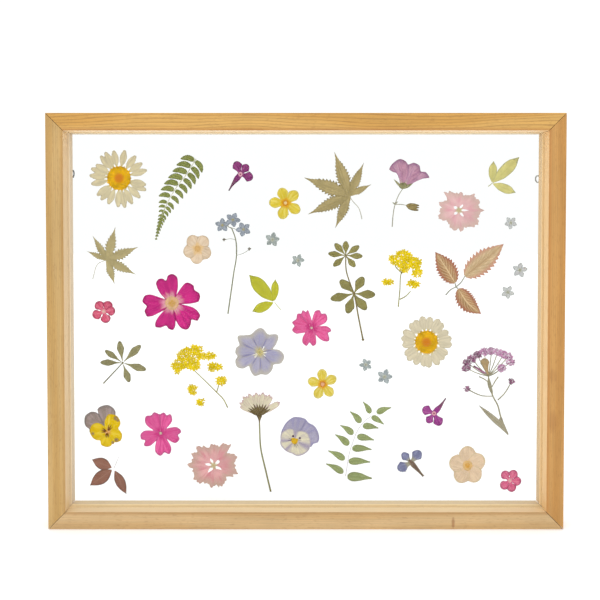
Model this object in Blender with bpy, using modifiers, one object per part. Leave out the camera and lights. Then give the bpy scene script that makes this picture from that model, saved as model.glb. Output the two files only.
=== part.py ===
"""A pressed flower frame: a mitred wooden frame that holds pressed specimens between two panes.

It stands on the underside of its bottom rail. X runs to the right, Z up, and the front faces -Y.
The origin is the middle of the underside. Lengths below are in millimetres, angles in degrees.
"""

import math

import bmesh
import bpy
from mathutils import Matrix, Vector

MM = 0.001

# The frame.
FRAME_WIDTH = 370.0
FRAME_HEIGHT = 298.0
FRAME_DEPTH = 25.0
FACE_WIDTH = 12.5
LIP_DEPTH = 10.5
RABBET_WIDTH = 5.5
ARRIS = 0.6
GAP = 0.3

# The panes and the specimens between them, from the front.
PANE_THICKNESS = 2.0
PANE_SLACK = 0.5
PANE_ARRIS = 0.25
SPECIMEN_THICKNESS = 0.4

# The strips that hold the panes in, flush with the back.
STRIP_ARRIS = 0.3

# The screw eyes in the back: which side, how far in from the frame's edge, height above the base,
# turn of the ring about its shank, and how far the ring was bent over towards the middle.
EYE_RING_RADIUS = 2.5
EYE_WIRE_RADIUS = 0.5
EYE_SHANK_RADIUS = 0.65
EYE_RING_STEPS = 18
EYE_STAND_OFF = 6.5
EYE_SHANK_DEPTH = 7.5
EYE_NECK = 1.8
EYE_HOLE_DEPTH = 8.0
EYES = {
    "left": {"side": -1, "inset": 10.8, "height": 256.9, "turn": 93.0, "lean": 0.0},
    "right": {"side": 1, "inset": 9.6, "height": 253.1, "turn": 86.0, "lean": 22.0},
}

FRONT = -FRAME_DEPTH / 2
BACK = FRAME_DEPTH / 2
SEAT = FRONT + LIP_DEPTH
FRONT_PANE_Y = SEAT + GAP
SPECIMEN_Y = FRONT_PANE_Y + PANE_THICKNESS + GAP
BACK_PANE_Y = SPECIMEN_Y + SPECIMEN_THICKNESS + GAP
STRIP_Y = BACK_PANE_Y + PANE_THICKNESS + GAP
WALL_WIDTH = FACE_WIDTH - RABBET_WIDTH
PANE_WIDTH = FRAME_WIDTH - 2 * (WALL_WIDTH + PANE_SLACK)
PANE_HEIGHT = FRAME_HEIGHT - 2 * (WALL_WIDTH + PANE_SLACK)
MITRE_CUTTER = 60.0

# The side of the frame that each turn about Y puts a bar on.
SIDES = {"bottom": 0.0, "left": 90.0, "top": 180.0, "right": 270.0}

# Finishes: colour, roughness, metallic.
FINISHES = {
    "frame_wood": ((0.62, 0.38, 0.15), 0.55, 0.0),
    "strip_wood": ((0.70, 0.47, 0.24), 0.60, 0.0),
    "pane_glass": ((0.92, 0.96, 0.95), 0.05, 0.0),
    "nickel_wire": ((0.55, 0.55, 0.56), 0.30, 1.0),
    "white_petal": ((0.72, 0.64, 0.40), 0.80, 0.0),
    "yellow_petal": ((0.75, 0.58, 0.07), 0.80, 0.0),
    "beige_petal": ((0.76, 0.58, 0.42), 0.80, 0.0),
    "blush_petal": ((0.74, 0.40, 0.45), 0.80, 0.0),
    "pink_petal": ((0.75, 0.10, 0.28), 0.80, 0.0),
    "magenta_petal": ((0.56, 0.02, 0.20), 0.80, 0.0),
    "purple_petal": ((0.26, 0.04, 0.20), 0.80, 0.0),
    "mauve_petal": ((0.40, 0.22, 0.38), 0.80, 0.0),
    "lavender_petal": ((0.42, 0.42, 0.62), 0.80, 0.0),
    "slate_petal": ((0.38, 0.45, 0.50), 0.80, 0.0),
    "fern_leaf": ((0.18, 0.26, 0.06), 0.85, 0.0),
    "pale_leaf": ((0.55, 0.60, 0.22), 0.85, 0.0),
    "lime_leaf": ((0.40, 0.48, 0.04), 0.85, 0.0),
    "sage_leaf": ((0.26, 0.34, 0.16), 0.85, 0.0),
    "khaki_leaf": ((0.40, 0.34, 0.13), 0.85, 0.0),
    "olive_leaf": ((0.24, 0.22, 0.08), 0.85, 0.0),
    "russet_leaf": ((0.36, 0.18, 0.10), 0.85, 0.0),
    "maroon_leaf": ((0.18, 0.07, 0.05), 0.85, 0.0),
}


# Outlines are lists of points (x, y) in millimetres, clockwise. A shoot is an open outline that
# starts and ends at its base, the origin, and grows along +y. Headings turn clockwise from up.

def placed(points, heading, x=0.0, y=0.0):
    """The points turned to a heading about the origin and then moved to (x, y)."""
    turn = math.radians(heading)
    cos, sin = math.cos(turn), math.sin(turn)
    return [(x + px * cos + py * sin, y - px * sin + py * cos) for px, py in points]


def leaf(length, width, belly=0.45, base=0.35, steps=3):
    """A leaf or petal, widest at belly: half width = width / 2 * sin(pi * t^p), and a pointed tip."""
    power = math.log(0.5) / math.log(belly)
    left = [(-base, 0.0)]
    for step in range(1, steps):
        t = step / steps
        left.append((-max(base, width / 2 * math.sin(math.pi * t ** power)), t * length))
    right = [(-x, y) for x, y in reversed(left)]
    return left + [(0.0, length)] + right


# Petal edges: how far across the petal (0 to 1), and how far out (1 is the flower's radius).
DAISY_PETAL = ((0.0, 0.62), (0.22, 0.96), (0.5, 1.0), (0.78, 0.96))
ROUND_PETAL = ((0.0, 0.55), (0.12, 0.82), (0.3, 0.97), (0.5, 1.0), (0.7, 0.97), (0.88, 0.82))
HEART_PETAL = ((0.0, 0.45), (0.1, 0.78), (0.3, 1.0), (0.5, 0.88), (0.7, 1.0), (0.9, 0.78))
CLEFT_PETAL = ((0.0, 0.38), (0.14, 0.75), (0.32, 1.0), (0.5, 0.78), (0.68, 1.0), (0.86, 0.75))
TOOTHED_PETAL = ((0.0, 0.62), (0.2, 0.98), (0.35, 0.9), (0.5, 1.0), (0.65, 0.9), (0.8, 0.97))
SMALL_PETAL = ((0.0, 0.5), (0.25, 0.96), (0.5, 1.0), (0.75, 0.96))


def bloom(count, radius, edge, heading=0.0):
    """A flower seen from above: one petal edge repeated round a centre. Its first petal is at heading."""
    pitch = 360.0 / count
    points = []
    for petal in range(count):
        for across, out in edge:
            angle = math.radians(heading + (petal + across - 0.5) * pitch)
            points.append((radius * out * math.sin(angle), radius * out * math.cos(angle)))
    return points


def blob(radius, sides=6, stalk=0.0):
    """A small round flower or bud as a shoot, at the end of a short stalk."""
    base = 0.3
    points = [(-base, 0.0)]
    for side in range(sides):
        angle = math.radians(180.0 + (side + 0.5) * 360.0 / sides)
        points.append((radius * math.sin(angle), stalk + radius + radius * math.cos(angle)))
    points.append((base, 0.0))
    return points


def lengths_along(route):
    """How far along a route each of its points is, as a part of the whole."""
    marks = [0.0]
    for (x0, y0), (x1, y1) in zip(route, route[1:]):
        marks.append(marks[-1] + math.hypot(x1 - x0, y1 - y0))
    return [mark / marks[-1] for mark in marks]


def spot(route, part):
    """The point at a part of a route's length, and the unit direction there."""
    marks = lengths_along(route)
    index = 0
    while index < len(route) - 2 and marks[index + 1] < part:
        index += 1
    (x0, y0), (x1, y1) = route[index], route[index + 1]
    share = (part - marks[index]) / (marks[index + 1] - marks[index])
    length = math.hypot(x1 - x0, y1 - y0)
    point = (x0 + share * (x1 - x0), y0 + share * (y1 - y0))
    return point, ((x1 - x0) / length, (y1 - y0) / length)


def stem(route, half, left=(), right=(), crown=(), hub=1.0):
    """A stem along a route, as a shoot that keeps the route's own directions.

    left and right hold (part along it, heading, shoot); crown holds (heading, shoot), set round
    the stem's end at the hub's radius. The outline goes up the left side and down the right one.
    """
    def side(shoots, sign):
        marks = [(part, None, None) for part in lengths_along(route)]
        walk = sorted(marks + list(shoots), key=lambda item: item[0], reverse=sign > 0)
        points = []
        for part, heading, shoot in walk:
            (x, y), (dx, dy) = spot(route, part)
            x += sign * half * dy
            y -= sign * half * dx
            if shoot is None:
                points.append((x, y))
            else:
                points += placed(shoot, heading, x, y)
        return points

    (x, y), (dx, dy) = spot(route, 1.0)
    ahead = math.degrees(math.atan2(dx, dy))
    end = []
    for heading, shoot in sorted(crown, key=lambda item: (item[0] - ahead + 180.0) % 360.0):
        angle = math.radians(heading)
        end += placed(shoot, heading, x + hub * math.sin(angle), y + hub * math.cos(angle))
    return side(left, -1) + end + side(right, 1)


def cut_leaf(length, width, teeth=2, base=0.4):
    """A lobe with pointed teeth along both edges, as on a maple leaf."""
    left = [(-base, 0.0)]
    for tooth in range(teeth):
        t = (tooth + 1.0) / (teeth + 1.0)
        reach = width / 2 * math.sin(math.pi * t ** 0.9)
        left.append((-reach, length * (t + 0.08)))
        left.append((-reach * 0.72, length * (t + 0.10)))
    right = [(-x, y) for x, y in reversed(left)]
    return left + [(0.0, length)] + right


def palm(route, lobes, slim, shape=leaf, hub=1.5):
    """Lobes (heading, length) that spread from the end of a stalk, their widths slim times their lengths."""
    crown = [(heading, shape(length, slim * length)) for heading, length in lobes]
    return stem(route, 0.45, crown=crown, hub=hub)


def fern_frond():
    """A frond that hangs to the left, with sickle leaflets that shorten towards its tip."""
    route = ((0.0, 0.0), (-13.0, -18.0), (-22.0, -36.0), (-28.5, -57.0))
    pairs = 13
    outer, inner = [], []
    for pair in range(pairs):
        part = 0.06 + 0.9 * pair / pairs
        length = 11.0 * (1.0 - 0.82 * pair / pairs)
        shape = leaf(length, 0.27 * length, base=0.25, steps=2)
        outer.append((part, 118.0 + 3.0 * pair, shape))
        inner.append((part + 0.02, 262.0 - 2.0 * pair, shape))
    return stem(route, 0.4, left=outer, right=inner)


def spurred_flower(heading, lobes):
    """A small flower whose spur is the stem and whose lobes (heading, length, width) crown it."""
    angle = math.radians(heading)
    spur = ((0.0, 0.0), (-12.0 * math.sin(angle), -12.0 * math.cos(angle)))
    return stem(spur, 0.9, crown=[(turn, leaf(length, width, 0.6)) for turn, length, width in lobes], hub=1.8)


def bell(length, width, lobes=5):
    """A bell seen from the side: flared walls and a scalloped mouth."""
    left = [(-1.2, 0.0), (-width * 0.22, length * 0.2), (-width * 0.36, length * 0.55)]
    right = [(-x, y) for x, y in reversed(left)]
    mouth = []
    for step in range(2 * lobes + 1):
        x = width * (step / (2 * lobes) - 0.5)
        mouth.append((x, length * (0.82 + 0.18 * (step % 2) - 0.5 * (x / width) ** 2)))
    return left + mouth + right


def bellflower():
    """A bell on a thin stem, with one bud on a side stalk."""
    route = ((0.0, 0.0), (1.8, 15.6), (6.9, 27.2))
    return stem(route, 0.5, right=((0.62, 88.0, leaf(13.0, 4.0, 0.75)),), crown=((18.0, bell(21.0, 27.0)),))


def forget_me_not():
    """A tall bare stem with three open flowers at its end and two buds below them."""
    route = ((0.0, 0.0), (4.1, 29.8), (6.0, 42.5), (5.1, 55.3), (2.8, 61.8))
    heads = ((-71.0, blob(4.0, 8, 1.7)), (8.0, blob(4.2, 8, 1.7)), (96.0, blob(4.4, 8, 3.0)))
    return stem(route, 0.45, left=((0.7, -35.0, blob(1.8, 6, 8.0)),),
                right=((0.62, 72.0, blob(1.8, 6, 8.0)),), crown=heads)


def woodruff():
    """Two whorls of narrow leaves on one stem, the lower whorl larger."""
    route = ((0.0, 0.0), (-6.5, 34.2), (-11.6, 62.0))
    low = [leaf(length, 4.6, 0.65) for length in (12.5, 14.5, 15.0)]
    left = [(0.52 + 0.022 * k, -132.0 + 42.0 * k, shape) for k, shape in enumerate(low)]
    right = [(0.52 + 0.022 * k, 124.0 - 42.0 * k, shape) for k, shape in enumerate(low)]
    crown = [(-118.0 + 35.0 * k, leaf(10.5, 3.6, 0.65)) for k in range(7)]
    return stem(route, 0.45, left=left, right=right, crown=crown, hub=1.4)


def flower_head(route, reach, heads, left=(), right=(), radius=2.4):
    """A stem that ends in a fan of small flowers (heading, part of the reach)."""
    crown = [(heading, blob(radius, 6, reach * part)) for heading, part in heads]
    return stem(route, 0.4, left=left, right=right, crown=crown, hub=1.7)


def yellow_sprig_upper():
    route = ((0.0, 0.0), (1.2, 12.0), (3.2, 22.0))
    heads = ((-62.0, 0.8), (-36.0, 0.9), (-8.0, 1.0), (20.0, 0.85), (48.0, 0.9), (76.0, 0.7))
    return flower_head(route, 12.0, heads, left=((0.5, -50.0, blob(2.6, 6, 5.0)),),
                       right=((0.42, 68.0, blob(2.6, 6, 5.0)),), radius=3.0)


def yellow_sprig_lower():
    route = ((0.0, 0.0), (-7.4, 10.9), (-16.0, 20.0), (-23.0, 25.5))
    heads = ((-92.0, 0.75), (-66.0, 0.95), (-40.0, 1.0), (-14.0, 0.95), (12.0, 0.9), (38.0, 0.6))
    return flower_head(route, 13.0, heads, left=((0.62, -100.0, blob(3.0, 6, 5.0)),),
                       right=((0.45, 28.0, blob(2.6, 6, 6.0)),), radius=3.2)


def umbel_sprig():
    """Purple flower clusters on rays from one point, with a narrow leaf low on the stem."""
    route = ((0.0, 0.0), (-4.8, 14.2), (-9.8, 28.3), (-12.5, 37.4), (-12.9, 45.0))
    heads = ((-72.0, 1.2), (-48.0, 1.0), (-22.0, 0.85), (2.0, 0.8), (26.0, 0.9), (50.0, 1.1), (74.0, 1.15))
    return flower_head(route, 10.0, heads, left=((0.08, -42.0, leaf(27.0, 3.6)),
                                                 (0.74, -70.0, blob(2.2, 6, 9.0))),
                       right=((0.7, 50.0, blob(2.2, 6, 10.0)),), radius=2.7)


def side_daisy():
    """A daisy pressed from the side: a fan of petals on a long stem."""
    route = ((0.0, 0.0), (-6.5, 30.5), (-7.1, 51.6))
    crown = [(-78.0 + 15.6 * k, leaf(14.0 - 2.5 * abs(k - 5) / 5, 3.4, 0.75, 0.6)) for k in range(11)]
    return stem(route, 0.5, crown=crown, hub=4.4)


def pinnate_leaf():
    """Oval leaflets along both sides of a curved stalk."""
    route = ((0.0, 0.0), (4.1, 21.1), (11.6, 37.1), (18.1, 42.9))
    shape = [leaf(length, 5.4, 0.55) for length in (15.5, 17.0, 17.5, 16.5, 14.5, 12.0)]
    left = [(0.12 + 0.15 * k, -72.0 + 11.0 * k, shape[k]) for k in range(6)]
    right = [(0.08 + 0.15 * k, 84.0 + 3.0 * k, shape[k]) for k in range(6)]
    return stem(route, 0.4, left=left, right=right, crown=((55.0, leaf(13.0, 5.0)),))


def russet_spray():
    """Three toothed leaflets on one stalk."""
    route = ((0.0, 0.0), (7.1, 5.1), (13.5, 13.1))
    return stem(route, 0.5, left=((0.48, -33.0, leaf(26.8, 13.0, 0.42, steps=6)),),
                right=((0.52, 138.0, leaf(25.8, 11.0, 0.45, steps=6)),),
                crown=((51.5, leaf(34.4, 15.5, 0.45, steps=7)),))


def side_blue_flower():
    """A small blue flower on a short stem."""
    lobes = ((-110.0, 9.0), (-62.0, 9.5), (-15.0, 9.5), (32.0, 8.0), (80.0, 8.0))
    return palm(((0.0, 0.0), (-8.1, 9.1)), lobes, 0.48, hub=2.4)


# Every specimen: its finish, the middle (x, height above the base) and size of the space that it
# fills, and its outline.
SPECIMENS = {
    "daisy_upper_left": ("white_petal", (-136.2, 251.9), (41.9, 42.0), bloom(19, 21.0, DAISY_PETAL)),
    "fern_frond": ("fern_leaf", (-92.1, 238.6), (35.4, 61.9), fern_frond()),
    "purple_flower_upper": ("purple_petal", (-47.3, 254.1), (18.1, 21.7), spurred_flower(
        217.0, ((-22.0, 8.5, 6.8), (45.0, 7.5, 5.8), (106.0, 8.0, 6.4)))),
    "yellow_flower_upper": ("yellow_petal", (-15.3, 234.2), (23.0, 23.0), bloom(5, 12.0, ROUND_PETAL, 20.0)),
    "maple_leaf_large": ("khaki_leaf", (23.2, 243.9), (48.7, 55.1), palm(
        ((10.2, -17.7), (0.0, 0.0)),
        ((-156.0, 24.8), (-114.0, 32.4), (-69.5, 34.5), (-20.0, 31.6), (24.6, 24.5), (64.4, 17.2)),
        0.28, cut_leaf, 2.2)),
    "bellflower": ("mauve_petal", (75.2, 241.8), (29.2, 49.3), bellflower()),
    "larkspur_upper": ("blush_petal", (113.0, 228.4), (33.6, 29.8), bloom(5, 16.0, TOOTHED_PETAL, 36.0)),
    "pale_leaf_trio": ("pale_leaf", (143.7, 254.5), (22.7, 26.8), palm(
        ((-1.5, -3.0), (0.0, 0.0)), ((4.0, 15.3), (47.0, 26.6), (111.0, 18.2)), 0.32)),
    "maple_leaf_small": ("khaki_leaf", (-140.7, 196.2), (37.2, 41.4), palm(
        ((5.2, -17.0), (0.0, 0.0)),
        ((-66.4, 15.6), (-30.7, 19.9), (14.6, 23.9), (67.5, 24.0), (116.6, 22.9)), 0.28, cut_leaf, 2.0)),
    "blossom_upper": ("beige_petal", (-79.0, 200.7), (20.3, 21.1), bloom(5, 10.0, ROUND_PETAL)),
    "forget_me_not_sprig": ("slate_petal", (-52.8, 190.5), (26.1, 73.6), forget_me_not()),
    "woodruff_sprig": ("olive_leaf", (33.5, 170.4), (34.4, 73.0), woodruff()),
    "yellow_sprig_upper": ("yellow_petal", (70.3, 179.9), (30.7, 42.3), yellow_sprig_upper()),
    "russet_leaf_trio": ("russet_leaf", (119.1, 179.2), (49.8, 51.1), russet_spray()),
    "red_flower_left": ("pink_petal", (-147.4, 155.1), (16.7, 16.1), bloom(5, 8.0, ROUND_PETAL, 10.0)),
    "magenta_rose": ("magenta_petal", (-98.1, 162.4), (42.1, 40.9), bloom(5, 21.0, HEART_PETAL)),
    "lime_leaf_trio": ("lime_leaf", (-29.6, 168.3), (23.3, 27.8), palm(
        ((4.5, -5.0), (0.0, 0.0)), ((-110.7, 17.1), (-45.5, 25.4), (2.0, 14.9)), 0.32)),
    "pink_flower_middle": ("pink_petal", (4.3, 143.4), (28.5, 26.4), bloom(5, 14.0, CLEFT_PETAL)),
    "olive_leaf_sprig": ("olive_leaf", (-133.4, 118.1), (33.4, 31.5), palm(
        ((-13.3, -14.5), (0.0, 0.0)),
        ((-89.0, 15.2), (-53.8, 14.8), (-8.0, 15.4), (44.7, 17.4), (107.0, 16.6), (162.0, 14.3)), 0.28)),
    "yellow_sprig_lower": ("yellow_petal", (-77.9, 108.2), (42.2, 47.0), yellow_sprig_lower()),
    "delphinium": ("lavender_petal", (-33.6, 125.8), (35.7, 35.2), bloom(5, 18.0, ROUND_PETAL, 30.0)),
    "daisy_right": ("white_petal", (88.3, 133.1), (37.4, 38.1), bloom(20, 19.0, DAISY_PETAL)),
    "umbel_sprig": ("purple_petal", (133.5, 97.2), (39.9, 64.7), umbel_sprig()),
    "side_daisy": ("white_petal", (-33.7, 59.6), (29.9, 73.7), side_daisy()),
    "yellow_flower_lower": ("yellow_petal", (12.0, 102.5), (21.2, 21.8), bloom(5, 11.0, ROUND_PETAL, 8.0)),
    "pinnate_leaf": ("sage_leaf", (38.7, 60.0), (47.9, 58.9), pinnate_leaf()),
    "purple_flower_lower": ("purple_petal", (94.0, 81.8), (17.7, 20.6), spurred_flower(
        38.0, ((-68.0, 8.0, 5.8), (-132.0, 8.5, 5.4), (162.0, 9.5, 6.4)))),
    "pansy": ("yellow_petal", (-148.3, 71.4), (27.6, 30.9), bloom(5, 15.0, ROUND_PETAL, 180.0)),
    "pink_flower_lower": ("pink_petal", (-106.2, 65.5), (29.9, 32.0), bloom(5, 15.0, CLEFT_PETAL, 14.0)),
    "viola": ("lavender_petal", (-4.4, 63.7), (28.6, 28.7), bloom(5, 14.0, ROUND_PETAL, 180.0)),
    "maroon_leaf_trio": ("maroon_leaf", (-144.9, 35.0), (26.8, 27.6), palm(
        ((4.9, 10.9), (0.0, 0.0)), ((152.0, 17.2), (-124.0, 20.2), (-69.6, 16.7)), 0.40)),
    "larkspur_lower": ("blush_petal", (-68.2, 42.3), (37.3, 33.2), bloom(5, 18.0, TOOTHED_PETAL, 8.0)),
    "blue_flower": ("slate_petal", (77.0, 43.8), (19.9, 19.9), side_blue_flower()),
    "blossom_lower": ("beige_petal", (118.4, 43.0), (26.5, 27.3), bloom(5, 13.0, ROUND_PETAL, 6.0)),
    "red_flower_right": ("pink_petal", (150.3, 30.9), (15.5, 16.3), bloom(5, 8.0, ROUND_PETAL, 24.0)),
}

# The loose florets, which differ only in place, size and turn.
FLORETS = (
    ((-24.1, 208.2), 10.0, 0.0),
    ((-5.5, 192.7), 9.2, 20.0),
    ((149.1, 219.8), 8.7, 40.0),
    ((156.2, 185.8), 10.5, 10.0),
    ((147.4, 169.4), 9.2, 30.0),
    ((43.5, 116.4), 8.9, 50.0),
    ((58.1, 107.9), 10.6, 15.0),
)
for number, (middle, size, turn) in enumerate(FLORETS, 1):
    SPECIMENS[f"floret_{number}"] = ("slate_petal", middle, (size, size), bloom(5, size / 2, SMALL_PETAL, turn))


def fitted(points, middle, size):
    """The outline stretched to fill a space of the given size about its middle."""
    xs = [x for x, _ in points]
    ys = [y for _, y in points]
    grow_x = size[0] / (max(xs) - min(xs))
    grow_y = size[1] / (max(ys) - min(ys))
    mid_x = (max(xs) + min(xs)) / 2
    mid_y = (max(ys) + min(ys)) / 2
    return [(middle[0] + (x - mid_x) * grow_x, middle[1] + (y - mid_y) * grow_y) for x, y in points]


def new_collection(name):
    """A collection linked to the scene."""
    collection = bpy.data.collections.new(name)
    bpy.context.scene.collection.children.link(collection)
    return collection


def finish(name):
    """The material of a finish, made the first time it is asked for."""
    material = bpy.data.materials.get(name)
    if material is None:
        colour, roughness, metallic = FINISHES[name]
        material = bpy.data.materials.new(name)
        material.use_nodes = True
        shader = material.node_tree.nodes["Principled BSDF"]
        shader.inputs["Base Color"].default_value = (*colour, 1.0)
        shader.inputs["Roughness"].default_value = roughness
        shader.inputs["Metallic"].default_value = metallic
        if name == "pane_glass":
            shader.inputs["Alpha"].default_value = 0.3
    return material


def into(collection, piece, material=None):
    """Moves a piece into a collection and gives it its finish."""
    for home in list(piece.users_collection):
        home.objects.unlink(piece)
    collection.objects.link(piece)
    if material:
        piece.data.materials.clear()
        piece.data.materials.append(finish(material))
    return piece


def flat_curve(name, points, thickness):
    """A closed outline in millimetres as a filled flat curve of the given thickness."""
    curve = bpy.data.curves.new(name, "CURVE")
    curve.dimensions = "2D"
    curve.fill_mode = "BOTH"
    curve.extrude = thickness / 2 * MM
    spline = curve.splines.new("POLY")
    spline.points.add(len(points) - 1)
    for point, (x, y) in zip(spline.points, points):
        point.co = (x * MM, y * MM, 0.0, 1.0)
    spline.use_cyclic_u = True
    return bpy.data.objects.new(name, curve)


def as_mesh(curve_object):
    """A mesh object in place of a curve object, with its caps welded."""
    name = curve_object.name
    bpy.context.scene.collection.objects.link(curve_object)
    depsgraph = bpy.context.evaluated_depsgraph_get()
    mesh = bpy.data.meshes.new_from_object(curve_object.evaluated_get(depsgraph))
    shape = bmesh.new()
    shape.from_mesh(mesh)
    bmesh.ops.remove_doubles(shape, verts=shape.verts, dist=0.00001)
    shape.to_mesh(mesh)
    shape.free()
    curve = curve_object.data
    bpy.data.objects.remove(curve_object)
    bpy.data.curves.remove(curve)
    mesh.name = name
    return bpy.data.objects.new(name, mesh)


def add_bevel(piece, width, segments=2, weighted=False):
    """Rounded edges, on every sharp edge or only on those that carry a weight."""
    bevel = piece.modifiers.new("arris", "BEVEL")
    bevel.width = width * MM
    bevel.segments = segments
    bevel.limit_method = "WEIGHT" if weighted else "ANGLE"


def cut(piece, cutter):
    """Takes the cutter's shape out of the piece."""
    boolean = piece.modifiers.new(cutter.name, "BOOLEAN")
    boolean.operation = "DIFFERENCE"
    boolean.object = cutter


def as_cutter(piece):
    """Puts a shape among the cutters, which are not part of the object."""
    into(cutters, piece)
    piece.hide_render = True
    piece.display_type = "WIRE"
    return piece


def primitive(name):
    """The primitive that was added last, renamed."""
    piece = bpy.context.object
    piece.name = name
    piece.data.name = name
    return piece


def mitred_bar(name, side, section, arris, material):
    """A bar along one side of the frame, its section (across from the outer edge, depth) mitred.

    The section is drawn out to the frame's full length, its long edges are rounded, and a block
    turned by 45 degrees cuts each end, half a gap short of the corner's plane.
    """
    turn = math.radians(SIDES[side])
    upright = side in ("left", "right")
    length = FRAME_HEIGHT if upright else FRAME_WIDTH
    reach = (FRAME_WIDTH if upright else FRAME_HEIGHT) / 2
    middle = Vector((0.0, 0.0, FRAME_HEIGHT / 2))
    outward = Vector((-math.sin(turn), 0.0, -math.cos(turn)))
    along = Vector((math.cos(turn), 0.0, -math.sin(turn)))

    bar = as_mesh(flat_curve(name, section, length))
    weights = bar.data.attributes.new("bevel_weight_edge", "FLOAT", "EDGE")
    for edge in bar.data.edges:
        start, end = (bar.data.vertices[index].co for index in edge.vertices)
        weights.data[edge.index].value = 1.0 if abs(start.z - end.z) > length * MM / 2 else 0.0
    bar.rotation_euler = (0.0, turn - math.radians(90.0), 0.0)
    bar.location = (middle + outward * reach) * MM
    into(parts, bar, material)
    add_bevel(bar, arris, weighted=True)

    for end, sign in (("first", -1.0), ("second", 1.0)):
        away = (along * sign - outward).normalized()
        corner = middle + outward * reach + along * (sign * length / 2)
        bpy.ops.mesh.primitive_cube_add(size=MITRE_CUTTER * MM)
        block = as_cutter(primitive(f"{name}_{end}_mitre"))
        block.rotation_euler = (0.0, math.radians(45.0), 0.0)
        block.location = (corner + away * (MITRE_CUTTER / 2 - GAP / 2)) * MM
        cut(bar, block)
    return bar


def make_rails():
    """The four rails: an L section with the rabbet for the panes behind the lip."""
    section = (
        (0.0, FRONT), (FACE_WIDTH, FRONT), (FACE_WIDTH, SEAT),
        (WALL_WIDTH, SEAT), (WALL_WIDTH, BACK), (0.0, BACK),
    )
    for side in SIDES:
        mitred_bar(f"{side}_rail", side, section, ARRIS, "frame_wood")


def make_strips():
    """The four strips that hold the panes in; those at the sides have a hole for a screw eye."""
    section = (
        (WALL_WIDTH + GAP, STRIP_Y), (FACE_WIDTH, STRIP_Y),
        (FACE_WIDTH, BACK), (WALL_WIDTH + GAP, BACK),
    )
    for side in SIDES:
        strip = mitred_bar(f"{side}_strip", side, section, STRIP_ARRIS, "strip_wood")
        if side in EYES:
            eye = EYES[side]
            bpy.ops.mesh.primitive_cylinder_add(
                vertices=16, radius=(EYE_SHANK_RADIUS + GAP) * MM, depth=2 * EYE_HOLE_DEPTH * MM,
                location=(eye_x(eye) * MM, BACK * MM, eye["height"] * MM),
                rotation=(math.radians(90.0), 0.0, 0.0))
            cut(strip, as_cutter(primitive(f"{side}_eye_hole")))


def make_panes():
    """The two panes of glass."""
    for name, front in (("front_pane", FRONT_PANE_Y), ("back_pane", BACK_PANE_Y)):
        bpy.ops.mesh.primitive_cube_add(size=1.0)
        pane = into(parts, primitive(name), "pane_glass")
        size = Vector((PANE_WIDTH, PANE_THICKNESS, PANE_HEIGHT)) * MM
        pane.data.transform(Matrix.Diagonal((*size, 1.0)))
        pane.location = Vector((0.0, front + PANE_THICKNESS / 2, FRAME_HEIGHT / 2)) * MM
        add_bevel(pane, PANE_ARRIS, segments=1)


def eye_x(eye):
    """How far from the middle a screw eye's shank is."""
    return eye["side"] * (FRAME_WIDTH / 2 - eye["inset"])


def eye_wire(eye):
    """The wire of a screw eye, in millimetres: (x, y, z, radius) from the point of the shank, round the ring.

    The shank runs along y and the ring lies in the xy plane, bent over by the lean at the neck.
    """
    tip = -EYE_STAND_OFF - EYE_SHANK_DEPTH
    neck = -EYE_RING_RADIUS - EYE_NECK
    flat = [(0.0, tip, 0.2), (0.0, tip + 2.0, EYE_SHANK_RADIUS), (0.0, neck, EYE_SHANK_RADIUS)]
    for step in range(EYE_RING_STEPS + 1):
        angle = math.radians(-70.0 + 320.0 * step / EYE_RING_STEPS)
        flat.append((EYE_RING_RADIUS * math.cos(angle), EYE_RING_RADIUS * math.sin(angle), EYE_WIRE_RADIUS))
    lean = math.radians(eye["lean"])
    wire = []
    for x, y, radius in flat:
        past = max(0.0, y - neck)
        wire.append((x, min(y, neck) + past * math.cos(lean), -eye["side"] * past * math.sin(lean), radius))
    return wire


def make_screw_eyes():
    """A screw eye for each side, bent from one wire, so its ring stays open by a hair at the shank."""
    for side, eye in EYES.items():
        curve = bpy.data.curves.new(f"{side}_screw_eye", "CURVE")
        curve.dimensions = "3D"
        curve.bevel_depth = EYE_WIRE_RADIUS * MM
        curve.bevel_resolution = 2
        curve.use_fill_caps = True
        wire = eye_wire(eye)
        spline = curve.splines.new("POLY")
        spline.points.add(len(wire) - 1)
        for point, (x, y, z, radius) in zip(spline.points, wire):
            point.co = (x * MM, y * MM, z * MM, 1.0)
            point.radius = radius / EYE_WIRE_RADIUS
        piece = into(parts, bpy.data.objects.new(f"{side}_screw_eye", curve), "nickel_wire")
        piece.rotation_euler = (0.0, math.radians(eye["turn"]), 0.0)
        piece.location = Vector((eye_x(eye), BACK + EYE_STAND_OFF, eye["height"])) * MM


def make_specimens():
    """The pressed specimens, flat between the panes."""
    for name, (material, middle, size, outline) in SPECIMENS.items():
        piece = flat_curve(name, fitted(outline, middle, size), SPECIMEN_THICKNESS)
        piece.rotation_euler = (math.radians(90.0), 0.0, 0.0)
        piece.location = (0.0, (SPECIMEN_Y + SPECIMEN_THICKNESS / 2) * MM, 0.0)
        into(parts, piece, material)


for leftover in list(bpy.data.objects):
    bpy.data.objects.remove(leftover)
parts = new_collection("pressed_flower_frame")
cutters = new_collection("cutters")
make_rails()
make_strips()
make_panes()
make_screw_eyes()
make_specimens()
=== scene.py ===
import math

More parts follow.
